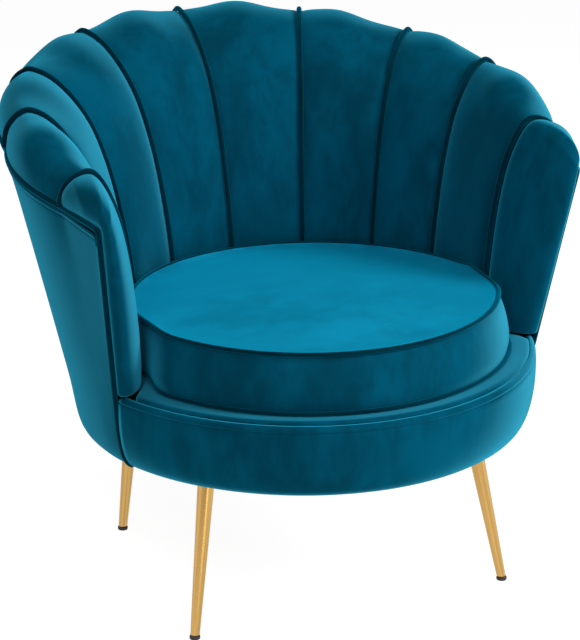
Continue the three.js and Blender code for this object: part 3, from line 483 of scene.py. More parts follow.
def tube(name, points, radius, sides=14, closed=False):
    """Round cord along a line of points."""
    p = np.array(points, float)
    if closed:
        tangents = np.roll(p, -1, axis=0) - np.roll(p, 1, axis=0)
    else:
        tangents = np.gradient(p, axis=0)
    tangents /= np.linalg.norm(tangents, axis=1)[:, None]
    across = np.cross(tangents[0], (0, 0, 1) if abs(tangents[0][2]) < 0.9 else (1, 0, 0))
    rings = []
    for point, tangent in zip(p, tangents):
        across = across - tangent * across.dot(tangent)
        across /= np.linalg.norm(across)
        other = np.cross(tangent, across)
        turns = [2 * math.pi * j / sides for j in range(sides)]
        rings.append([point + radius * (across * math.cos(a) + other * math.sin(a)) for a in turns])
    if not closed:  # rounded ends
        for end, step in ((0, 1), (-1, -1)):
            tip = p[end] - tangents[end] * step * radius * 0.5
            cap = [tip + (q - p[end]) * 0.6 for q in rings[end]]
            rings.insert(0 if end == 0 else len(rings), cap)
    return loft(name, rings, closed)


def mirrored(piece, name):
    """Copy of a piece on the other side of the chair."""
    mesh = piece.data.copy()
    mesh.name = name
    mesh.vertices.foreach_set("co", (coordinates(mesh) * (-1, 1, 1)).ravel())
    mesh.flip_normals()
    made = bpy.data.objects.new(name, mesh)
    bpy.context.scene.collection.objects.link(made)
    return made


def smoothed(piece):
    """One subdivision, applied."""
    modifier = piece.modifiers.new("Finer", "SUBSURF")
    modifier.levels = modifier.render_levels = 1
    settle(piece)


def settle(piece):
    """Applies a piece's modifiers."""
    graph = bpy.context.evaluated_depsgraph_get()
    finished = bpy.data.meshes.new_from_object(piece.evaluated_get(graph))
    piece.modifiers.clear()
    piece.data = finished
    finished.shade_smooth()


def swell(pieces, pinned, cap):
    """Cloth simulation that inflates padded pieces from where they are. pinned gives how firmly each
    point is held, and no point moves further than about cap."""
    scene = bpy.context.scene
    starts = []
    for piece, held in zip(pieces, pinned):
        group = piece.vertex_groups.new(name="sewn")
        for value in sorted(set(held)):
            group.add([i for i, h in enumerate(held) if h == value], value, "REPLACE")
        cloth = piece.modifiers.new("Stuffing", "CLOTH")
        cloth.settings.vertex_group_mass = group.name
        cloth.settings.quality = 6
        cloth.settings.mass = 0.3
        cloth.settings.tension_stiffness = 12
        cloth.settings.compression_stiffness = 12
        cloth.settings.bending_stiffness = 0.6
        cloth.settings.use_pressure = True
        cloth.settings.uniform_pressure_force = STUFFING_PRESSURE
        cloth.settings.effector_weights.gravity = 0
        cloth.point_cache.frame_start = 1
        cloth.point_cache.frame_end = SWELL_FRAMES
        starts.append(coordinates(piece.data))
    for step in range(1, SWELL_FRAMES + 1):
        scene.frame_set(step)
    graph = bpy.context.evaluated_depsgraph_get()
    ends = [coordinates(piece.evaluated_get(graph).to_mesh()) for piece in pieces]
    scene.frame_set(1)
    for piece, start, end in zip(pieces, starts, ends):
        move = end - start
        length = np.linalg.norm(move, axis=1)[:, None]
        capped = start + move * cap * np.tanh(length / cap) / np.maximum(length, 1e-9)
        piece.modifiers.clear()
        piece.vertex_groups.clear()
        piece.data.vertices.foreach_set("co", capped.ravel())
        piece.data.update()


def stands_for(piece, material, body, slot, *nodes, fill=None):
    """Finishes a piece: its material, the body that it rides on and the CAD nodes it stands for."""
    piece.data.materials.append(material)
    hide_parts(*nodes)
    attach(piece, body)


# Materials


def node(tree, kind, links, **settings):
    """Adds a shader node with its settings, and its inputs' values or links by name or number."""
    made = tree.nodes.new(f"ShaderNode{kind}")
    for name, value in settings.items():
        setattr(made, name, value)
    feed(tree, made, links)
    return made


def feed(tree, made, links):
    """Gives a node's inputs their values, or links them."""
    for socket, source in links.items():
        if isinstance(source, bpy.types.NodeSocket):
            tree.links.new(source, made.inputs[socket])
        else:
            made.inputs[socket].default_value = source


def new_material(name):
    """Empty material, its tree, its shader and the coordinates of the object."""
    material = bpy.data.materials.get(name) or bpy.data.materials.new(name)
    material.use_nodes = True
    tree = material.node_tree
    tree.nodes.clear()
    shader = node(tree, "BsdfPrincipled", {})
    node(tree, "OutputMaterial", {"Surface": shader.outputs[0]})
    place = node(tree, "TexCoord", {}).outputs["Object"]
    return material, tree, shader, place


def shade(colour, factor):
    return (*(min(1.0, c * factor) for c in colour), 1)


def velvet(name, colour, painted_sheen, stretch, contrast, sheen):
    """Polyester velvet, woven as a double cloth and cut apart into a short upright pile. Hands leave
    it lying in soft patches, so the same dye looks darker and lighter. Where it is seen along its
    surface, its colour is mixed towards a second, lighter one: a painted sheen. The 0.3 mm pile is
    drawn about 1.5 mm coarse so that it shows."""
    material, tree, shader, place = new_material(name)
    laid = node(tree, "Mapping", {"Vector": place, "Scale": stretch})
    patches = node(
        tree, "TexNoise",
        {"Vector": laid.outputs[0], "Scale": 8.5, "Detail": 3.0, "Roughness": 0.55, "Distortion": 0.6},
    )
    streaks = node(
        tree, "TexNoise",
        {"Vector": laid.outputs[0], "Scale": 48.0, "Detail": 4.0, "Roughness": 0.6, "Distortion": 0.3},
    )
    both = node(
        tree, "Mix",
        {0: 0.35, 2: patches.outputs["Fac"], 3: streaks.outputs["Fac"]}, data_type="FLOAT",
    )
    nap = node(
        tree, "MapRange",
        {"Value": both.outputs[0], "From Min": 0.36, "From Max": 0.64}, interpolation_type="SMOOTHSTEP",
    )
    dye = node(
        tree, "Mix",
        {0: nap.outputs[0], 6: shade(colour, 1 - contrast), 7: shade(colour, 1 + contrast)},
        data_type="RGBA",
    )
    # Painted sheen: the colour turns lighter where the surface is seen at a grazing angle
    glance = node(tree, "LayerWeight", {"Blend": 0.5}).outputs["Facing"]
    glow = node(
        tree, "MapRange",
        {"Value": glance, "From Min": 0.36, "From Max": 0.9}, interpolation_type="SMOOTHSTEP",
    )
    dye_and_painted_sheen = node(
        tree, "Mix",
        {0: glow.outputs[0], 6: dye.outputs[2], 7: shade(painted_sheen, 1)}, data_type="RGBA",
    )
    pile = node(tree, "TexNoise", {"Vector": place, "Scale": 650.0, "Detail": 2.0})
    slack = node(tree, "TexNoise", {"Vector": laid.outputs[0], "Scale": 9.0, "Detail": 0.0})
    undulation = node(tree, "Bump", {"Height": slack.outputs["Fac"], "Strength": 0.7, "Distance": 0.012})
    creases = node(
        tree, "Bump",
        {
            "Height": streaks.outputs["Fac"], "Normal": undulation.outputs[0],
            "Strength": 0.15, "Distance": 0.0015,
        },
    )
    fuzz = node(
        tree, "Bump",
        {"Height": pile.outputs["Fac"], "Normal": creases.outputs[0], "Strength": 0.3, "Distance": 0.0006},
    )
    rough = node(tree, "MapRange", {"Value": nap.outputs[0], "To Min": 0.78, "To Max": 0.9})
    feed(tree, shader, {
        "Base Color": dye_and_painted_sheen.outputs[2], "Roughness": rough.outputs[0], "Normal": fuzz.outputs[0],
        "Specular IOR Level": 0.02, "Sheen Weight": sheen, "Sheen Roughness": 0.45,
        "Sheen Tint": (*linear("04c0ec"), 1),
    })
    return material


def shell_velvet():
    colours = bpy.context.scene.chair_colours
    return velvet(
        "Teal polyester velvet", colours.velvet, colours.painted_sheen,
        stretch=(1.0, 1.0, 0.45), contrast=0.28, sheen=0.7,
    )


def cushion_velvet():
    # The cushion's top panel is the shell's velvet painted lighter: painted light on the seat's top. Its
    # boxing and underside keep the shell's velvet
    colours = bpy.context.scene.chair_colours
    # The seat's painted sheen: its own velvet made a little lighter
    seat_painted_sheen = shade(colours.cushion, 1.12)[:3]
    return velvet(
        "Teal polyester velvet, brushed seat", colours.cushion, seat_painted_sheen,
        stretch=(0.6, 1.0, 1.0), contrast=0.32, sheen=0.8,
    )


def corded_velvet():
    # The cords are the shell's velvet painted darker, as painted shade; at grazing angles they are painted
    # towards the shell's velvet colour, as painted sheen
    colours = bpy.context.scene.chair_colours
    return velvet(
        "Teal velvet, cut on the bias over cord", colours.piping, colours.velvet,
        stretch=(1.0, 1.0, 1.0), contrast=0.2, sheen=0.6,
    )


def brushed_brass():
    """Brass plated on drawn steel tube and brushed along its length, then lacquered: warm and
    satin, with long soft highlights. Light and dark bands painted along the tube stand in for
    reflections, and its edges are painted darker as painted shade. The 0.1 mm brush lines are
    drawn about 0.6 mm apart."""
    colours = bpy.context.scene.chair_colours
    material, tree, shader, place = new_material("Brushed brass plating")
    drawn = node(tree, "Mapping", {"Vector": place, "Scale": (1.0, 1.0, 0.02)})
    lines = node(tree, "TexNoise", {"Vector": drawn.outputs[0], "Scale": 1600.0, "Detail": 3.0})
    handled = node(tree, "TexNoise", {"Vector": place, "Scale": 30.0, "Detail": 3.0})
    # Painted reflections: light and dark bands along the tube, set by the direction round its axis
    round_tube = node(tree, "Attribute", {}, attribute_name="round_tube").outputs["Vector"]
    bands = node(tree, "TexNoise", {"Vector": round_tube, "Scale": 2.6, "Detail": 2.0})
    band = node(
        tree, "MapRange",
        {"Value": bands.outputs["Fac"], "From Min": 0.38, "From Max": 0.6}, interpolation_type="SMOOTHSTEP",
    )
    painted_reflection_tone = node(
        tree, "Mix",
        {0: band.outputs[0], 6: shade(colours.brass, 0.66), 7: shade(colours.brass, 1.08)},
        data_type="RGBA",
    )
    lined = node(
        tree, "Mix",
        {0: lines.outputs["Fac"], 6: painted_reflection_tone.outputs[2], 7: shade(colours.brass, 0.9)},
        data_type="RGBA",
    )
    # Painted shade: the tube darkened towards its edges, where it is seen at a grazing angle
    painted_edge_shade = node(
        tree, "MapRange",
        {
            "Value": node(tree, "LayerWeight", {"Blend": 0.5}).outputs["Facing"],
            "From Min": 0.68, "From Max": 0.95,
        },
        interpolation_type="SMOOTHSTEP",
    )
    tone = node(
        tree, "Mix",
        {0: painted_edge_shade.outputs[0], 6: lined.outputs[2], 7: shade(colours.brass, 0.4)}, data_type="RGBA",
    )
    rough = node(tree, "MapRange", {"Value": handled.outputs["Fac"], "To Min": 0.15, "To Max": 0.24})
    bump = node(tree, "Bump", {"Height": lines.outputs["Fac"], "Strength": 0.12, "Distance": 0.0003})
    feed(tree, shader, {
        "Base Color": tone.outputs[2], "Roughness": rough.outputs[0], "Normal": bump.outputs[0],
        "Metallic": 1.0,
    })
    return material


def moulded_rubber():
    """Carbon black rubber, compression moulded: nearly black and dull, with a dusty bloom. The
    0.5 mm moulded grain is drawn about 1.1 mm coarse."""
    material, tree, shader, place = new_material("Moulded rubber")
    grain = node(tree, "TexNoise", {"Vector": place, "Scale": 900.0, "Detail": 2.0})
    bloom = node(tree, "TexNoise", {"Vector": place, "Scale": 90.0, "Detail": 3.0})
    tone = node(
        tree, "Mix",
        {0: bloom.outputs["Fac"], 6: shade(linear("1a1414"), 1), 7: shade(linear("33292a"), 1)},
        data_type="RGBA",
    )
    bump = node(tree, "Bump", {"Height": grain.outputs["Fac"], "Strength": 0.3, "Distance": 0.0002})
    feed(tree, shader, {
        "Base Color": tone.outputs[2], "Normal": bump.outputs[0], "Roughness": 0.62, "IOR": 1.52,
    })
    return material


def birch_plywood(name, across):
    """Birch plywood, rotary peeled and pressed, then sawn and left bare: pale faces with a faint
    flowing grain, and edges striped by 1.4 mm veneers. across is the direction through the sheet."""
    veneer = 0.0014
    material, tree, shader, place = new_material(name)
    depth = node(tree, "VectorMath", {0: place, 1: across}, operation="DOT_PRODUCT")
    wavy = node(tree, "TexNoise", {"Vector": place, "Scale": 9.0, "Detail": 4.0, "Distortion": 1.4})
    veneers = node(tree, "Math", {0: depth.outputs["Value"], 1: math.pi / veneer}, operation="MULTIPLY")
    stripes = node(tree, "Math", {0: veneers.outputs[0]}, operation="SINE")
    bands = node(tree, "MapRange", {"Value": stripes.outputs[0], "From Min": -1.0, "To Max": 0.45})
    grain = node(tree, "Math", {0: wavy.outputs["Fac"], 1: bands.outputs[0]}, operation="ADD")
    tone = node(
        tree, "Mix",
        {0: grain.outputs[0], 6: shade(linear("d9b888"), 1), 7: shade(linear("a67c4c"), 1)},
        data_type="RGBA",
    )
    bump = node(tree, "Bump", {"Height": grain.outputs[0], "Strength": 0.2, "Distance": 0.0004})
    feed(tree, shader, {"Base Color": tone.outputs[2], "Normal": bump.outputs[0], "Roughness": 0.68})
    return material


def woven_webbing():
    """Jute webbing, plain woven from 2.5 mm yarns: dull brown with a raised basket of threads."""
    yarn = 0.0025
    material, tree, shader, place = new_material("Woven jute webbing")
    bands = 2 * math.pi / (20 * 2 * yarn)  # the wave texture's own bands are 2 pi / 20 apart
    warp = node(tree, "TexWave", {"Vector": place, "Scale": bands}, bands_direction="X")
    weft = node(tree, "TexWave", {"Vector": place, "Scale": bands}, bands_direction="Y")
    weave = node(tree, "Math", {0: warp.outputs["Fac"], 1: weft.outputs["Fac"]}, operation="MULTIPLY")
    tone = node(
        tree, "Mix",
        {0: weave.outputs[0], 6: shade(linear("3b3026"), 1), 7: shade(linear("6b5a45"), 1)},
        data_type="RGBA",
    )
    bump = node(tree, "Bump", {"Height": weave.outputs[0], "Strength": 0.6, "Distance": 0.0008})
    feed(tree, shader, {"Base Color": tone.outputs[2], "Normal": bump.outputs[0], "Roughness": 0.9})
    return material


def spunbond_lining():
    """Black polypropylene lining, spun and point bonded: matt and slightly fibrous, with a grid of
    pressed dots 3 mm apart."""
    material, tree, shader, place = new_material("Spunbond polypropylene lining")
    dots = node(tree, "TexVoronoi", {"Vector": place, "Scale": 333.0, "Randomness": 0.15})
    fibres = node(tree, "TexNoise", {"Vector": place, "Scale": 400.0, "Detail": 5.0, "Distortion": 2.0})
    tone = node(
        tree, "Mix",
        {0: fibres.outputs["Fac"], 6: shade(linear("141414"), 1), 7: shade(linear("2c2c2c"), 1)},
        data_type="RGBA",
    )
    bump = node(tree, "Bump", {"Height": dots.outputs["Distance"], "Strength": 0.5, "Distance": 0.0005})
    feed(tree, shader, {"Base Color": tone.outputs[2], "Normal": bump.outputs[0], "Roughness": 0.85})
    return material


def zinc_plated_steel():
    """Cold headed steel, electroplated with zinc: bluish grey and satin, with a faint mottle of
    about 3 mm from its passivation."""
    material, tree, shader, place = new_material("Zinc plated steel")
    mottle = node(tree, "TexVoronoi", {"Vector": place, "Scale": 350.0})
    smear = node(tree, "TexNoise", {"Vector": place, "Scale": 120.0, "Detail": 3.0})
    tone = node(
        tree, "Mix",
        {0: mottle.outputs["Distance"], 6: shade(linear("a7abb0"), 1), 7: shade(linear("c9cdd0"), 1)},
        data_type="RGBA",
    )
    rough = node(tree, "MapRange", {"Value": smear.outputs["Fac"], "To Min": 0.28, "To Max": 0.5})
    feed(tree, shader, {"Base Color": tone.outputs[2], "Roughness": rough.outputs[0], "Metallic": 1.0})
    return material


# Pieces


def channel_pad(panel, back, rows=64, columns=22):
    """Channel between two seams, and how firmly each of its points is sewn."""
    fronts, backs, held = [], [], []
    for i in range(rows + 1):
        station = LAST_STATION * i / rows
        inset = SEW_INSET / back_frame(panel, station, 0.5)[3]
        front, behind = [], []
        for j in range(columns + 1):
            spread = (1 - math.cos(math.pi * j / columns)) / 2
            across = mix(inset, 1 - inset, mix(j / columns, spread, 0.5))
            point, _, out, _ = back_frame(panel, station, across)
            dip = seam_dip(panel, station, across, back)
            front.append(point + out * lobe(panel, station, across, back) + dip)
            behind.append(point - out * back.thickness)
            held.append(1.0 if j in (0, columns) or i in (0, rows) else 0.0)
        held.extend([1.0] * (columns + 1))
        fronts.append(front)
        backs.append(behind)
    return pad(f"back_pad_{6 + panel}", fronts, backs), held


def arm_pad(back, rows=64, columns=30):
    """Channel that rounds the front of the arm, and how firmly each of its points is sewn."""
    lines = [arm_curve(LAST_STATION * 0.985 * i / rows, back) for i in range(rows + 1)]
    fronts, backs, held = [], [], []
    for i, line in enumerate(lines):
        length = np.linalg.norm(np.diff(line, axis=0), axis=1).sum()
        first, last = SEW_INSET / length, 1 - SEW_INSET / length
        before, after = lines[max(i - 1, 0)], lines[min(i + 1, rows)]
        front, behind = [], []
        for j in range(columns + 1):
            across = mix(first, last, j / columns) * (len(line) - 1)
            k = min(int(across), len(line) - 2)
            t = across - k
            point = Vector(mix(line[k], line[k + 1], t))
            side = Vector(line[k + 1] - line[k])
            up = Vector(mix(after[k], after[k + 1], t) - mix(before[k], before[k + 1], t))
            out = side.cross(up).normalized()
            edge = min(j, columns - j) / columns
            front.append(point - out * back.dip * 0.8 * max(0, 1 - edge * 9) ** 2)
            thinned = mix(1, ARM_WELT_THICKNESS, smoothstep(j / columns, 0.5, 1))
            behind.append(point - out * back.thickness * thinned)
            held.append(1.0 if j in (0, columns) or i in (0, rows) else 0.0)
        held.extend([1.0] * (columns + 1))
        fronts.append(front)
        backs.append(behind)
    return pad("back_pad_10", fronts, backs), held


class CHAIR_OT_back_channels(bpy.types.Operator):
    """Builds the ten padded channels of the back and arms and lets them swell"""

    bl_idname = "chair.back_channels"
    bl_label = "Back channels"

    def execute(self, context):
        back = context.scene.chair_back
        made = [channel_pad(panel, back) for panel in range(LAST_SEAM)] + [arm_pad(back)]
        pieces = [piece for piece, _ in made]
        swell(pieces, [held for _, held in made], back.swell)
        cloth = shell_velvet()
        for number, piece in enumerate(pieces, 6):
            smoothed(piece)
            twin = mirrored(piece, f"back_pad_{11 - number}")
            stands_for(piece, cloth, "chair", "velvet", f"back_channel_{number}", fill=0.85)
            stands_for(twin, cloth, "chair", "velvet", f"back_channel_{11 - number}", fill=0.85)
        return {"FINISHED"}


def seam_line(k, back):
    """Centre of the cord in a seam."""
    panel = min(k, LAST_SEAM - 1)
    points = []
    for i in range(121):
        station = LAST_STATION * i / 120
        point, up, _, _ = back_frame(panel, station, k - panel)
        points.append(point + seam_out(k, up) * CORD_LIFT + seam_dip(panel, station, k - panel, back))
    return points


class CHAIR_OT_channel_piping(bpy.types.Operator):
    """Builds the corded piping in the nine seams of the back"""

    bl_idname = "chair.channel_piping"
    bl_label = "Channel piping"

    def execute(self, context):
        back = context.scene.chair_back
        cloth = corded_velvet()
        for k in range(LAST_SEAM + 1):
            piece = tube(f"seam_cord_{5 + k}", seam_line(k, back), back.cord_radius)
            if k:
                twin = mirrored(piece, f"seam_cord_{5 - k}")
                stands_for(twin, cloth, "chair", "piping", f"channel_piping_{5 - k}")
            stands_for(piece, cloth, "chair", "piping", f"channel_piping_{5 + k}")
        return {"FINISHED"}


def welt_line(back):
    """Right half of the welt, from the centre seam round the arm's corner to under the base."""
    points = [welt_point(panel, j / 24, back) for panel in range(LAST_SEAM) for j in range(24)]
    points += [arm_welt(LAST_STATION - i / 8, back) for i in range(8 * LAST_STATION)]
    points.append(knee_point(ARM_FRONT_ANGLE))
    return points + knee_round(ARM_FRONT_ANGLE, ARM_CORNER, 10)


class CHAIR_OT_edge_welt(bpy.types.Operator):
    """Builds the welt that runs round the scalloped edge and down both arm fronts"""

    bl_idname = "chair.edge_welt"
    bl_label = "Edge welt"

    def execute(self, context):
        back = context.scene.chair_back
        right = [Vector(p) for p in welt_line(back)]
        left = [Vector((-p.x, p.y, p.z)) for p in right[:0:-1]]
        line = relaxed(resampled(left + right, 900), 6)
        piece = tube("shell_welt", line, back.cord_radius)
        stands_for(piece, corded_velvet(), "chair", "piping", "edge_welt")
        return {"FINISHED"}


def cover_column(top, plain_top, angle, bead):
    """Line down the outer cover from the welt, over the base's knee and in under it."""
    knee = knee_point(angle)
    fall = (plain_top - knee).length
    near = [distance for distance, _ in EDGE_FOLD]
    shares = [d / fall for d in near] + [mix(near[-1] / fall, 1, i / 26) for i in range(1, 27)]
    proud = [bead * height for _, height in EDGE_FOLD] + [0] * 26
    column = []
    for share, height in zip(shares, proud):
        point = plain_top.lerp(knee, share) + (top - plain_top) * (1 - share) ** COVER_FADE_POWER
        column.append(point + polar(angle, height, 0))
    hem = polar(angle, base_radius(angle) - EDGE_TUCK, BASE_UNDERSIDE)
    return column + knee_round(angle, plain_top, 10) + [hem]


class CHAIR_OT_outer_cover(bpy.types.Operator):
    """Builds the smooth outer cover behind the welt"""

    bl_idname = "chair.outer_cover"
    bl_label = "Outer cover"

    def execute(self, context):
        back, cover = context.scene.chair_back, context.scene.chair_cover
        below = Vector((0, 0, -back.cord_radius - COVER_GAP))
        columns = []
        for panel in range(LAST_SEAM):
            for j in range(14):
                across = j / 14
                point, up, _, _ = back_frame(panel, LAST_STATION, across)
                plain = point + up * (back.cord_radius + CLEARANCE) + below
                angle = mix(SEAM_ANGLES[panel], SEAM_ANGLES[panel + 1], across)
                top = welt_point(panel, across, back) + below
                columns.append(cover_column(top, plain, angle, cover.bead))
        edge = welt_point(LAST_SEAM - 1, 1, back)
        pitch = back.cord_radius + COVER_GAP
        stop = ARM_FRONT_ANGLE - math.degrees(pitch / BASE_RADIUS)
        for share, drop in [(i / 14, 0) for i in range(14)] + list(COVER_CORNER):
            top = edge.lerp(ARM_CORNER, share * (1 - pitch / (ARM_CORNER - edge).length)) + below
            top.z -= COVER_CORNER_DROP * share + drop
            columns.append(cover_column(top, top, mix(SEAM_ANGLES[LAST_SEAM], stop, share), cover.bead))
        left = [[Vector((-p.x, p.y, p.z)) for p in column] for column in columns[:0:-1]]
        columns = left + columns
        count = len(columns[0])
        for j in range(COVER_EASED_FROM, count):  # eased sideways, below the scalloped edge
            rounds = min(10, j - COVER_EASED_FROM + 1)
            for column, point in zip(columns, relaxed([column[j] for column in columns], rounds)):
                column[j] = Vector(point)
        faces = []
        for i in range(len(columns) - 1):
            for j in range(count - 1):
                a, b = i * count + j, (i + 1) * count + j
                faces.append((a, b, b + 1, a + 1))
        piece = mesh_object("outer_cover", [tuple(p) for column in columns for p in column], faces)
        thicken = piece.modifiers.new("Cloth and wadding", "SOLIDIFY")
        thicken.thickness = cover.thickness
        thicken.offset = -1
        settle(piece)
        stands_for(piece, shell_velvet(), "chair", "velvet", "outer_back_cover", fill=0.95)
        return {"FINISHED"}


class CHAIR_OT_base_apron(bpy.types.Operator):
    """Builds the padded front of the base"""

    bl_idname = "chair.base_apron"
    bl_label = "Base apron"

    def execute(self, context):
        back = context.scene.chair_back
        start = ARM_FRONT_ANGLE + math.degrees((back.cord_radius + APRON_GAP) / BASE_RADIUS)
        seam, hem, wall = DECK_TOP - DECK_ROUND_HEIGHT, DECK_INSET - ROUND_CLEARANCE, WALL_INSET
        rings = []
        for i in range(121):
            angle = mix(360 - start, start, i / 120)

            def at(inset, z):
                return polar(angle, base_radius(angle) - inset, z)

            outer = [at(inset, seam - fall) for inset, fall in APRON_TOP]
            face = outer[-1]
            for j in range(1, 12):
                outer.append(face.lerp(knee_point(angle), j / 11))
            outer += knee_round(angle, at(0, seam), 12)
            outer.append(at(EDGE_TUCK, BASE_UNDERSIDE))
            turned = BASE_UNDERSIDE + APRON_CLOTH
            inner = [at(EDGE_TUCK, turned), at(wall, turned)]
            inner += [at(wall, seam - 0.032), at(hem, seam - 0.016), at(hem, seam - 0.004)]
            rings.append(outer + inner)
        piece = loft("apron", rings)
        stands_for(piece, shell_velvet(), "chair", "velvet", "base_apron", fill=0.95)
        return {"FINISHED"}


def held_share(angle):
    """How far the arms and back hold the cushion in at an angle, from 0 to 1."""
    away = abs((angle + 180) % 360 - 180)
    return 1 - smoothstep(away, CUSHION_HELD_TO, CUSHION_FREE_FROM)


def behind_share(angle):
    return max(0.0, math.cos(math.radians(angle))) ** 0.6


def top_seam(angle):
    radius = mix(FREE_TOP_RADIUS, HELD_RADIUS - 0.002, held_share(angle))
    behind = behind_share(angle)
    return radius - CUSHION_REAR_DRAW * behind, TOP_SEAM_Z - CUSHION_REAR_FALL * behind


def bottom_seam(angle):
    return mix(FREE_BOTTOM_RADIUS, HELD_RADIUS, held_share(angle)), BOTTOM_SEAM_Z


def deck_radius(angle):
    away = abs((angle + 180) % 360 - 180)
    past_arm = smoothstep(away - 6, SEAM_ANGLES[LAST_SEAM], ARM_FRONT_ANGLE)
    return mix(DECK_SIDE_RADIUS, base_radius(angle) - DECK_INSET, past_arm)


class CHAIR_OT_seat_deck(bpy.types.Operator):
    """Builds the padded deck under the seat cushion"""

    bl_idname = "chair.seat_deck"
    bl_label = "Seat deck"

    def execute(self, context):
        profile = [(0, DECK_BOTTOM), (0, DECK_TOP - DECK_ROUND_HEIGHT)]
        for i in range(1, 7):
            turn = math.pi / 2 * i / 6
            inset = DECK_ROUND_WIDTH * (1 - math.cos(turn))
            profile.append((inset, DECK_TOP - DECK_ROUND_HEIGHT * (1 - math.sin(turn))))
        profile += [(0.03, DECK_TOP), (0.1, DECK_TOP), (0.2, DECK_TOP)]
        rings = []
        for inset, z in profile:
            angles = [360 * i / 180 for i in range(180)]
            rings.append([polar(a, deck_radius(a) - inset, z) for a in angles])
        piece = loft("deck_pad", rings)
        stands_for(piece, shell_velvet(), "chair", "velvet", "seat_deck", fill=0.9)
        return {"FINISHED"}


def disc_grid(n):
    """Square grid of n by n cells laid in a round disc: its places, faces, and rim in order."""

    def index(i, j):
        return i * (n + 1) + j

    places = []
    for i in range(n + 1):
        for j in range(n + 1):
            x, y = 2 * i / n - 1, 2 * j / n - 1
            places.append((x * math.sqrt(1 - y * y / 2), y * math.sqrt(1 - x * x / 2)))
    faces = []
    for i in range(n):
        for j in range(n):
            faces.append((index(i, j), index(i + 1, j), index(i + 1, j + 1), index(i, j + 1)))
    rim = [index(i, 0) for i in range(n)] + [index(n, j) for j in range(n)]
    rim += [index(i, n) for i in range(n, 0, -1)] + [index(0, j) for j in range(n, 0, -1)]
    return places, faces, rim


def cushion_mesh(cushion, n=56, side_rings=12):
    """Round cushion of two panels and a boxing strip, and how firmly each of its points is held:
    at its seams, underneath, and where the arms and back press on it."""
    places, grid, rim = disc_grid(n)
    cord = cushion.cord_radius
    points, held = [], []
    for x, y in places:
        angle, share = math.degrees(math.atan2(x, y)), math.hypot(x, y)
        radius, z = top_seam(angle)
        high = mix(top_seam(90)[1], z, share**2) + cord * 0.5
        crown = cushion.crown * (1 - share**2) ** 0.8
        points.append(polar(angle, (radius - BOXING_INSET) * share, high + crown))
        held.append(1.0 if share > 0.999 else 0.0)
    faces = [tuple(reversed(f)) for f in grid]
    angles = [math.degrees(math.atan2(*places[i])) for i in rim]
    previous = list(rim)
    for ring in range(side_rings + 1):
        share = ring / side_rings
        first = len(points)
        for angle in angles:
            (top, top_z), (bottom, bottom_z) = top_seam(angle), bottom_seam(angle)
            grip = held_share(angle)
            sunk = BOXING_INSET * (1 - min(1, 8 * share * (1 - share)))
            bulge = BOXING_BULGE * (1 - grip) * math.sin(math.pi * share)
            radius = mix(top, bottom, share) - sunk + bulge
            points.append(polar(angle, radius, mix(top_z - cord * 0.5, bottom_z + cord * 0.5, share)))
            held.append(1.0 if ring in (0, side_rings) else round(min(1, 2 * grip), 1))
        row = list(range(first, len(points)))
        faces += [(previous[k], previous[k - 1], row[k - 1], row[k]) for k in range(len(row))]
        previous = row
    first = len(points)
    for x, y in places:
        angle, share = math.degrees(math.atan2(x, y)), math.hypot(x, y)
        flat = min(1, (1 - share) * 14)
        low = mix(BOTTOM_SEAM_Z - cord * 0.5, DECK_TOP + CLEARANCE, flat)
        points.append(polar(angle, (bottom_seam(angle)[0] - BOXING_INSET) * share, low))
        held.append(1.0)
    row = [first + i for i in rim]
    faces += [(previous[k], previous[k - 1], row[k - 1], row[k]) for k in range(len(row))]
    faces += [tuple(first + i for i in f) for f in grid]
    piece = mesh_object("cushion_pad", [tuple(p) for p in points], faces)
    # The top panel takes the velvet painted lighter, as painted light; the boxing and underside take the
    # shell's velvet
    for polygon in piece.data.polygons:
        polygon.material_index = 0 if polygon.index < len(grid) else 1
    return piece, held


class CHAIR_OT_seat_cushion(bpy.types.Operator):
    """Builds the loose round seat cushion and lets its filling swell it"""

    bl_idname = "chair.seat_cushion"
    bl_label = "Seat cushion"

    def execute(self, context):
        cushion = context.scene.chair_cushion
        piece, held = cushion_mesh(cushion)
        swell([piece], [held], cushion.swell)
        smoothed(piece)
        stands_for(piece, cushion_velvet(), "cushion", "cushion_velvet", "seat_cushion", fill=0.9)
        piece.data.materials.append(shell_velvet())
        return {"FINISHED"}


class CHAIR_OT_cushion_piping(bpy.types.Operator):
    """Builds the piping in the cushion's two seams"""

    bl_idname = "chair.cushion_piping"
    bl_label = "Cushion piping"

    def execute(self, context):
        radius = context.scene.chair_cushion.cord_radius
        cloth = corded_velvet()
        for word, seam in (("top", top_seam), ("bottom", bottom_seam)):
            line = [polar(a, *seam(a)) for a in np.linspace(0, 360, 360, endpoint=False)]
            piece = tube(f"cushion_cord_{word}", line, radius, sides=12, closed=True)
            stands_for(piece, cloth, "cushion", "piping", f"cushion_piping_{word}")
        return {"FINISHED"}


def leg_places():
    """(name, foot, top) of each leg, on the lines of the CAD's legs."""
    places = []
    for side, word in ((-1, "left"), (1, "right")):
        for end, x, y, splay_x, splay_y in LEG_LINES:
            foot = Vector((side * x, y, 0))
            top = Vector((side * (x - splay_x), y - splay_y, BASE_UNDERSIDE))
            places.append((f"leg_{end}_{word}", foot, top))
    return places


def level_ring(centre, radius, sides=48):
    turns = [2 * math.pi * i / sides for i in range(sides)]
    return [centre + Vector((radius * math.cos(a), radius * math.sin(a), 0)) for a in turns]


def joined(pieces, name):
    """One mesh from several pieces."""
    points, faces = [], []
    for piece in pieces:
        first = len(points)
        points += [v.co - Vector((0, SEAT_AXIS_Y, 0)) for v in piece.data.vertices]
        faces += [tuple(first + i for i in p.vertices) for p in piece.data.polygons]
        bpy.data.objects.remove(piece)
    return mesh_object(name, [tuple(p) for p in points], faces)


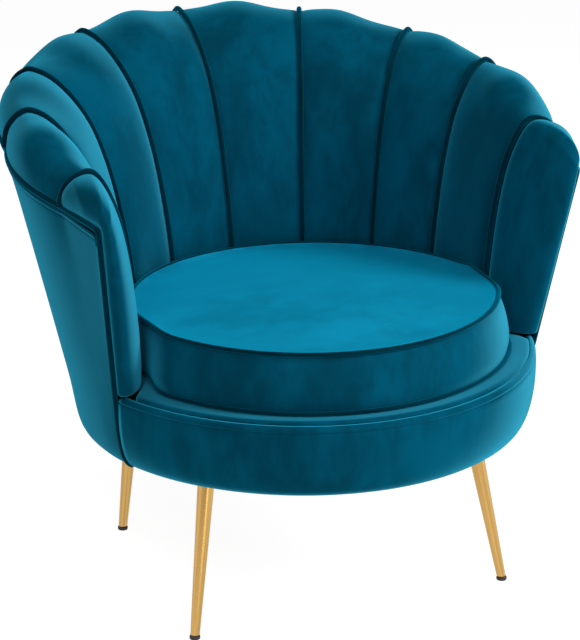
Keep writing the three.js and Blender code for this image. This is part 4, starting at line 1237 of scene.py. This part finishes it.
def mark_round(piece, foot, top):
    """Stores each point's direction from the leg's axis, for the painted reflection bands along the tube."""
    marks = piece.data.attributes.new("round_tube", "FLOAT_VECTOR", "POINT")
    for point, mark in zip(piece.data.vertices, marks.data):
        place = point.co - Vector((0, SEAT_AXIS_Y, 0))
        share = place.z / BASE_UNDERSIDE
        out = place - foot.lerp(top, share)
        angle = math.atan2(out.y, out.x)
        mark.vector = (math.cos(angle), math.sin(angle), foot.x * 5 + foot.y * 9 + share * 0.35)


class CHAIR_OT_legs(bpy.types.Operator):
    """Builds the four tapered legs with their oval plates"""

    bl_idname = "chair.legs"
    bl_label = "Legs"

    def execute(self, context):
        size = context.scene.chair_legs
        metal = brushed_brass()
        plate_top = BASE_UNDERSIDE + 0.0015
        for name, foot, top in leg_places():

            def on_leg(z, radius):
                return level_ring(foot.lerp(top, z / BASE_UNDERSIDE), radius)

            low, high = LEG_FOOT_Z, plate_top - PLATE_THICKNESS
            rings = [on_leg(low + 0.0006, size.foot_radius - 0.0014), on_leg(low, size.foot_radius - 0.0006)]
            rings.append(on_leg(low + 0.0008, size.foot_radius))
            for i in range(1, 13):
                share = i / 12
                radius = mix(size.foot_radius, size.top_radius, share)
                rings.append(on_leg(mix(low + 0.0008, high - WELD_FILLET, share), radius))
            for i in range(1, 6):
                turn = math.pi / 2 * i / 5
                radius = size.top_radius + WELD_FILLET * (1 - math.cos(turn))
                rings.append(on_leg(high - WELD_FILLET * (1 - math.sin(turn)), radius))
            shaft = loft("shaft", rings)
            along = Vector((-top.y, top.x, 0)).normalized()
            across = Vector((-along.y, along.x, 0))
            plate = []
            turns = [2 * math.pi * i / 64 for i in range(64)]
            low_rim, high_rim = high + 0.0007, plate_top - 0.0007
            for inset, z in ((PLATE_BEVEL, high), (0, low_rim), (0, high_rim), (PLATE_BEVEL, plate_top)):
                middle = Vector((top.x, top.y, z))
                long, wide = along * (PLATE_HALF_LENGTH - inset), across * (PLATE_HALF_WIDTH - inset)
                plate.append([middle + long * math.cos(a) + wide * math.sin(a) for a in turns])
            piece = joined([shaft, loft("plate", plate)], f"{name}_tube")
            mark_round(piece, foot, top)
            stands_for(piece, metal, "chair", "brass", name)
        return {"FINISHED"}


class CHAIR_OT_foot_caps(bpy.types.Operator):
    """Builds the rubber caps under the legs"""

    bl_idname = "chair.foot_caps"
    bl_label = "Foot caps"

    def execute(self, context):
        rubber = moulded_rubber()
        for name, foot, top in leg_places():
            centre = foot.lerp(top, 0.003 / BASE_UNDERSIDE)
            rings = []
            for out, up in CAP_PROFILE:
                rings.append(level_ring(Vector((centre.x, centre.y, CAP_HEIGHT * up)), CAP_RADIUS * out))
            for z in (CAP_HEIGHT + 0.0001, 0.0205):  # the stem inside the tube
                rings.append(level_ring(foot.lerp(top, z / BASE_UNDERSIDE), CAP_STEM_RADIUS))
            piece = loft(name.replace("leg", "cap"), rings)
            stands_for(piece, rubber, "chair", "rubber", name.replace("leg", "foot_cap"))
        return {"FINISHED"}


class CHAIR_OT_inner_frame(bpy.types.Operator):
    """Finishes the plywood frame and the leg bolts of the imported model"""

    bl_idname = "chair.inner_frame"
    bl_label = "Inner frame and bolts"

    def execute(self, context):
        flat = birch_plywood("Birch plywood, lying flat", (0, 0, 1))
        finishes = {n: flat for n in ("base_ring_lower", "base_ring_upper", "base_hoop", "top_rail")}
        ribs = (("back_rib_center", 0), ("rear_rib_right", 45), ("rear_rib_left", -45))
        for name, angle in (*ribs, ("arm_rib_right", 96), ("arm_rib_left", -96)):
            title = f"Birch plywood, {name.replace('_', ' ')}"
            finishes[name] = birch_plywood(title, polar(angle + 90, 1, 0))
        steel = zinc_plated_steel()
        finishes.update({n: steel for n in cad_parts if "_bolt_" in n})
        for name, material in finishes.items():
            for mesh_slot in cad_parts[name].material_slots:
                mesh_slot.material = material
        return {"FINISHED"}


class CHAIR_OT_seat_webbing(bpy.types.Operator):
    """Builds the four straps of webbing under the deck"""

    bl_idname = "chair.seat_webbing"
    bl_label = "Seat webbing"

    def execute(self, context):
        cloth = woven_webbing()
        for name in ("long_1", "long_2", "cross_1", "cross_2"):
            low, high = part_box(f"seat_webbing_{name}")
            along = 1 if name.startswith("long") else 0
            across = 1 - along
            rings = []
            for i in range(41):
                ring = []
                for j in range(24):
                    turn = 2 * math.pi * (j + 0.5) / 24
                    point = (low + high) / 2 - Vector((0, SEAT_AXIS_Y, 0))
                    edge = abs(math.cos(turn)) ** 0.4 * math.copysign(1, math.cos(turn))
                    point[across] += (high[across] - low[across]) / 2 * edge
                    point[along] += (high[along] - low[along]) * (i / 40 - 0.5)
                    point.z += (high.z - low.z) / 2 * math.sin(turn)
                    ring.append(point)
                rings.append(ring)
            piece = loft(f"webbing_{name}", rings)
            stands_for(piece, cloth, "chair", "webbing", f"seat_webbing_{name}")
        return {"FINISHED"}


class CHAIR_OT_dust_cover(bpy.types.Operator):
    """Builds the black lining stretched under the base"""

    bl_idname = "chair.dust_cover"
    bl_label = "Dust cover"

    def execute(self, context):
        low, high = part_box("dust_cover")
        angles = [360 * i / 120 for i in range(120)]

        def ring(share, z):
            return [polar(a, (base_radius(a) - EDGE_TUCK - ROUND_CLEARANCE) * share, z) for a in angles]

        shares = (0.02, 0.25, 0.5, 0.7, 0.85, 0.94, 0.98, 1)
        rings = [ring(share, low.z) for share in shares] + [ring(share, high.z) for share in reversed(shares)]
        piece = loft("lining", rings)
        stands_for(piece, spunbond_lining(), "chair", "lining", "dust_cover")
        return {"FINISHED"}


# Stage

PHOTO_WIDTH, PHOTO_HEIGHT = 580, 640
# Softboxes: name, place, height that they aim at, and width
SOFTBOXES = (
    ("key", (2.3, -1.6, 2.3), 0.45, 1.4), ("front", (0.1, -3.5, 0.8), 0.45, 1.6),
    ("fill", (-1.6, -2.2, 2.6), 0.45, 1.2), ("top", (-0.1, -0.4, 3.0), 0.4, 2.2),
    ("rim", (-2.4, 1.8, 1.0), 0.45, 1.6),
)


def studio_floor():
    """Pale seamless paper, calendered and matt: it shows the soft shadow under the chair and
    otherwise is as white as the studio's walls."""
    material, tree, shader, _ = new_material("Seamless studio paper")
    rays = node(tree, "LightPath", {}).outputs
    seen = node(tree, "Math", {0: rays["Is Camera Ray"], 1: rays["Is Glossy Ray"]}, operation="MAXIMUM")
    seen = node(tree, "Math", {0: seen.outputs[0], 1: rays["Is Transmission Ray"]}, operation="MAXIMUM")
    paper = node(
        tree, "Mix", {0: seen.outputs[0], 6: (0.8, 0.8, 0.8, 1), 7: (0.3, 0.3, 0.3, 1)}, data_type="RGBA",
    )
    glow = node(tree, "Math", {0: seen.outputs[0], 1: 0.93}, operation="MULTIPLY")
    feed(tree, shader, {
        "Base Color": paper.outputs[2], "Emission Strength": glow.outputs[0],
        "Emission Color": (1, 1, 1, 1), "Roughness": 1.0, "Specular IOR Level": 0.0,
    })
    return material


def softbox(name, place, aim, size, power):
    data = bpy.data.lights.new(name, "AREA")
    data.shape = "DISK"
    data.size = size
    data.energy = power
    lamp = bpy.data.objects.new(name, data)
    lamp.location = place
    lamp.rotation_mode = "QUATERNION"
    lamp.rotation_quaternion = (Vector(aim) - Vector(place)).to_track_quat("-Z", "Y")
    bpy.context.scene.collection.objects.link(lamp)


class CHAIR_OT_stage(bpy.types.Operator):
    """Sets the camera at the photograph's angle, the white studio and its softboxes"""

    bl_idname = "chair.stage"
    bl_label = "Camera, lights and floor"

    def execute(self, context):
        scene, stage = context.scene, context.scene.chair_stage
        scene.view_settings.view_transform = "Standard"
        azimuth, distance, height, pitch = -0.41887902, 3.82660681, 1.7473574, 0.338530887
        focal, centre_x, centre_y = 2717.206, 306.909, 321.359  # in the photograph's pixels
        data = bpy.data.cameras.new("photo_camera")
        data.sensor_width = 36
        data.lens = focal * data.sensor_width / PHOTO_HEIGHT
        data.shift_x = (PHOTO_WIDTH / 2 - centre_x) / PHOTO_HEIGHT
        data.shift_y = (centre_y - PHOTO_HEIGHT / 2) / PHOTO_HEIGHT
        camera = bpy.data.objects.new("photo_camera", data)
        camera.location = (math.sin(azimuth) * distance, SEAT_AXIS_Y - math.cos(azimuth) * distance, height)
        camera.rotation_euler = (math.pi / 2 - pitch, 0, azimuth)
        scene.collection.objects.link(camera)
        scene.camera = camera

        world = bpy.data.worlds.new("White studio")
        world.use_nodes = True
        tree = world.node_tree
        tree.nodes.clear()
        rays = node(tree, "LightPath", {}).outputs
        direction = node(tree, "TexCoord", {}).outputs["Generated"]
        # Metal mirrors a room that is dimmer in front, on the camera's side, and straight behind
        front = node(tree, "VectorMath", {0: direction, 1: (-0.4, -0.92, 0)}, operation="DOT_PRODUCT")
        towards = front.outputs["Value"]
        room = node(
            tree, "MapRange",
            {"Value": towards, "From Min": 0.55, "From Max": 0.95, "To Min": 1.0, "To Max": 0.42},
            interpolation_type="SMOOTHSTEP",
        )
        behind = node(
            tree, "MapRange",
            {"Value": towards, "From Min": -0.97, "From Max": -0.8, "To Min": 0.35, "To Max": 1.0},
            interpolation_type="SMOOTHSTEP",
        )
        mirror = node(tree, "Math", {0: room.outputs[0], 1: behind.outputs[0]}, operation="MULTIPLY")
        in_metal = node(
            tree, "Mix", {0: rays["Is Glossy Ray"], 2: stage.ambient, 3: mirror.outputs[0]},
            data_type="FLOAT",
        )
        level = node(
            tree, "Mix", {0: rays["Is Camera Ray"], 2: in_metal.outputs[0], 3: 1.0}, data_type="FLOAT",
        )
        wall = node(tree, "Background", {"Color": (1, 1, 1, 1), "Strength": level.outputs[0]})
        node(tree, "OutputWorld", {"Surface": wall.outputs[0]})
        scene.world = world

        for name, place, aim_z, size in SOFTBOXES:
            softbox(f"{name}_softbox", place, (0, -0.05, aim_z), size, getattr(stage, name))

        mesh = bpy.data.meshes.new("studio_floor")
        reach = 12  # metres, past the edges of the picture
        corners = [(-reach, -reach, 0), (reach, -reach, 0), (reach, reach, 0), (-reach, reach, 0)]
        mesh.from_pydata(corners, [], [(0, 1, 2, 3)])
        floor = bpy.data.objects.new("studio_floor", mesh)
        mesh.materials.append(studio_floor())
        scene.collection.objects.link(floor)
        return {"FINISHED"}


OPERATORS = (
    CHAIR_OT_stage,
    CHAIR_OT_back_channels,
    CHAIR_OT_channel_piping,
    CHAIR_OT_edge_welt,
    CHAIR_OT_outer_cover,
    CHAIR_OT_base_apron,
    CHAIR_OT_seat_deck,
    CHAIR_OT_seat_cushion,
    CHAIR_OT_cushion_piping,
    CHAIR_OT_legs,
    CHAIR_OT_foot_caps,
    CHAIR_OT_inner_frame,
    CHAIR_OT_seat_webbing,
    CHAIR_OT_dust_cover,
)

SETTINGS = {
    "chair_back": ChairBack,
    "chair_cover": ChairCover,
    "chair_cushion": ChairCushion,
    "chair_legs": ChairLegs,
    "chair_colours": ChairColours,
    "chair_stage": ChairStage,
}


class CHAIR_PT_pieces(bpy.types.Panel):
    bl_label = "Tub chair"
    bl_idname = "CHAIR_PT_pieces"
    bl_space_type = "VIEW_3D"
    bl_region_type = "UI"
    bl_category = "Tub chair"

    def draw(self, context):
        for name, group in SETTINGS.items():
            box = self.layout.box()
            for setting in group.__annotations__:
                box.prop(getattr(context.scene, name), setting)
        for operator in OPERATORS:
            self.layout.operator(operator.bl_idname)


def register():
    for group in SETTINGS.values():
        bpy.utils.register_class(group)
    for name, group in SETTINGS.items():
        setattr(bpy.types.Scene, name, bpy.props.PointerProperty(type=group))
    for made in (*OPERATORS, CHAIR_PT_pieces):
        bpy.utils.register_class(made)


def unregister():
    for made in (CHAIR_PT_pieces, *reversed(OPERATORS)):
        bpy.utils.unregister_class(made)
    for name in SETTINGS:
        delattr(bpy.types.Scene, name)
    for group in reversed(SETTINGS.values()):
        bpy.utils.unregister_class(group)


def main():
    register()
    bpy.ops.chair.stage()
    bpy.ops.chair.back_channels()
    bpy.ops.chair.channel_piping()
    bpy.ops.chair.edge_welt()
    bpy.ops.chair.outer_cover()
    bpy.ops.chair.base_apron()
    bpy.ops.chair.seat_deck()
    bpy.ops.chair.seat_cushion()
    bpy.ops.chair.cushion_piping()
    bpy.ops.chair.legs()
    bpy.ops.chair.foot_caps()
    bpy.ops.chair.inner_frame()
    bpy.ops.chair.seat_webbing()
    bpy.ops.chair.dust_cover()


if __name__ == "__main__":
    main()
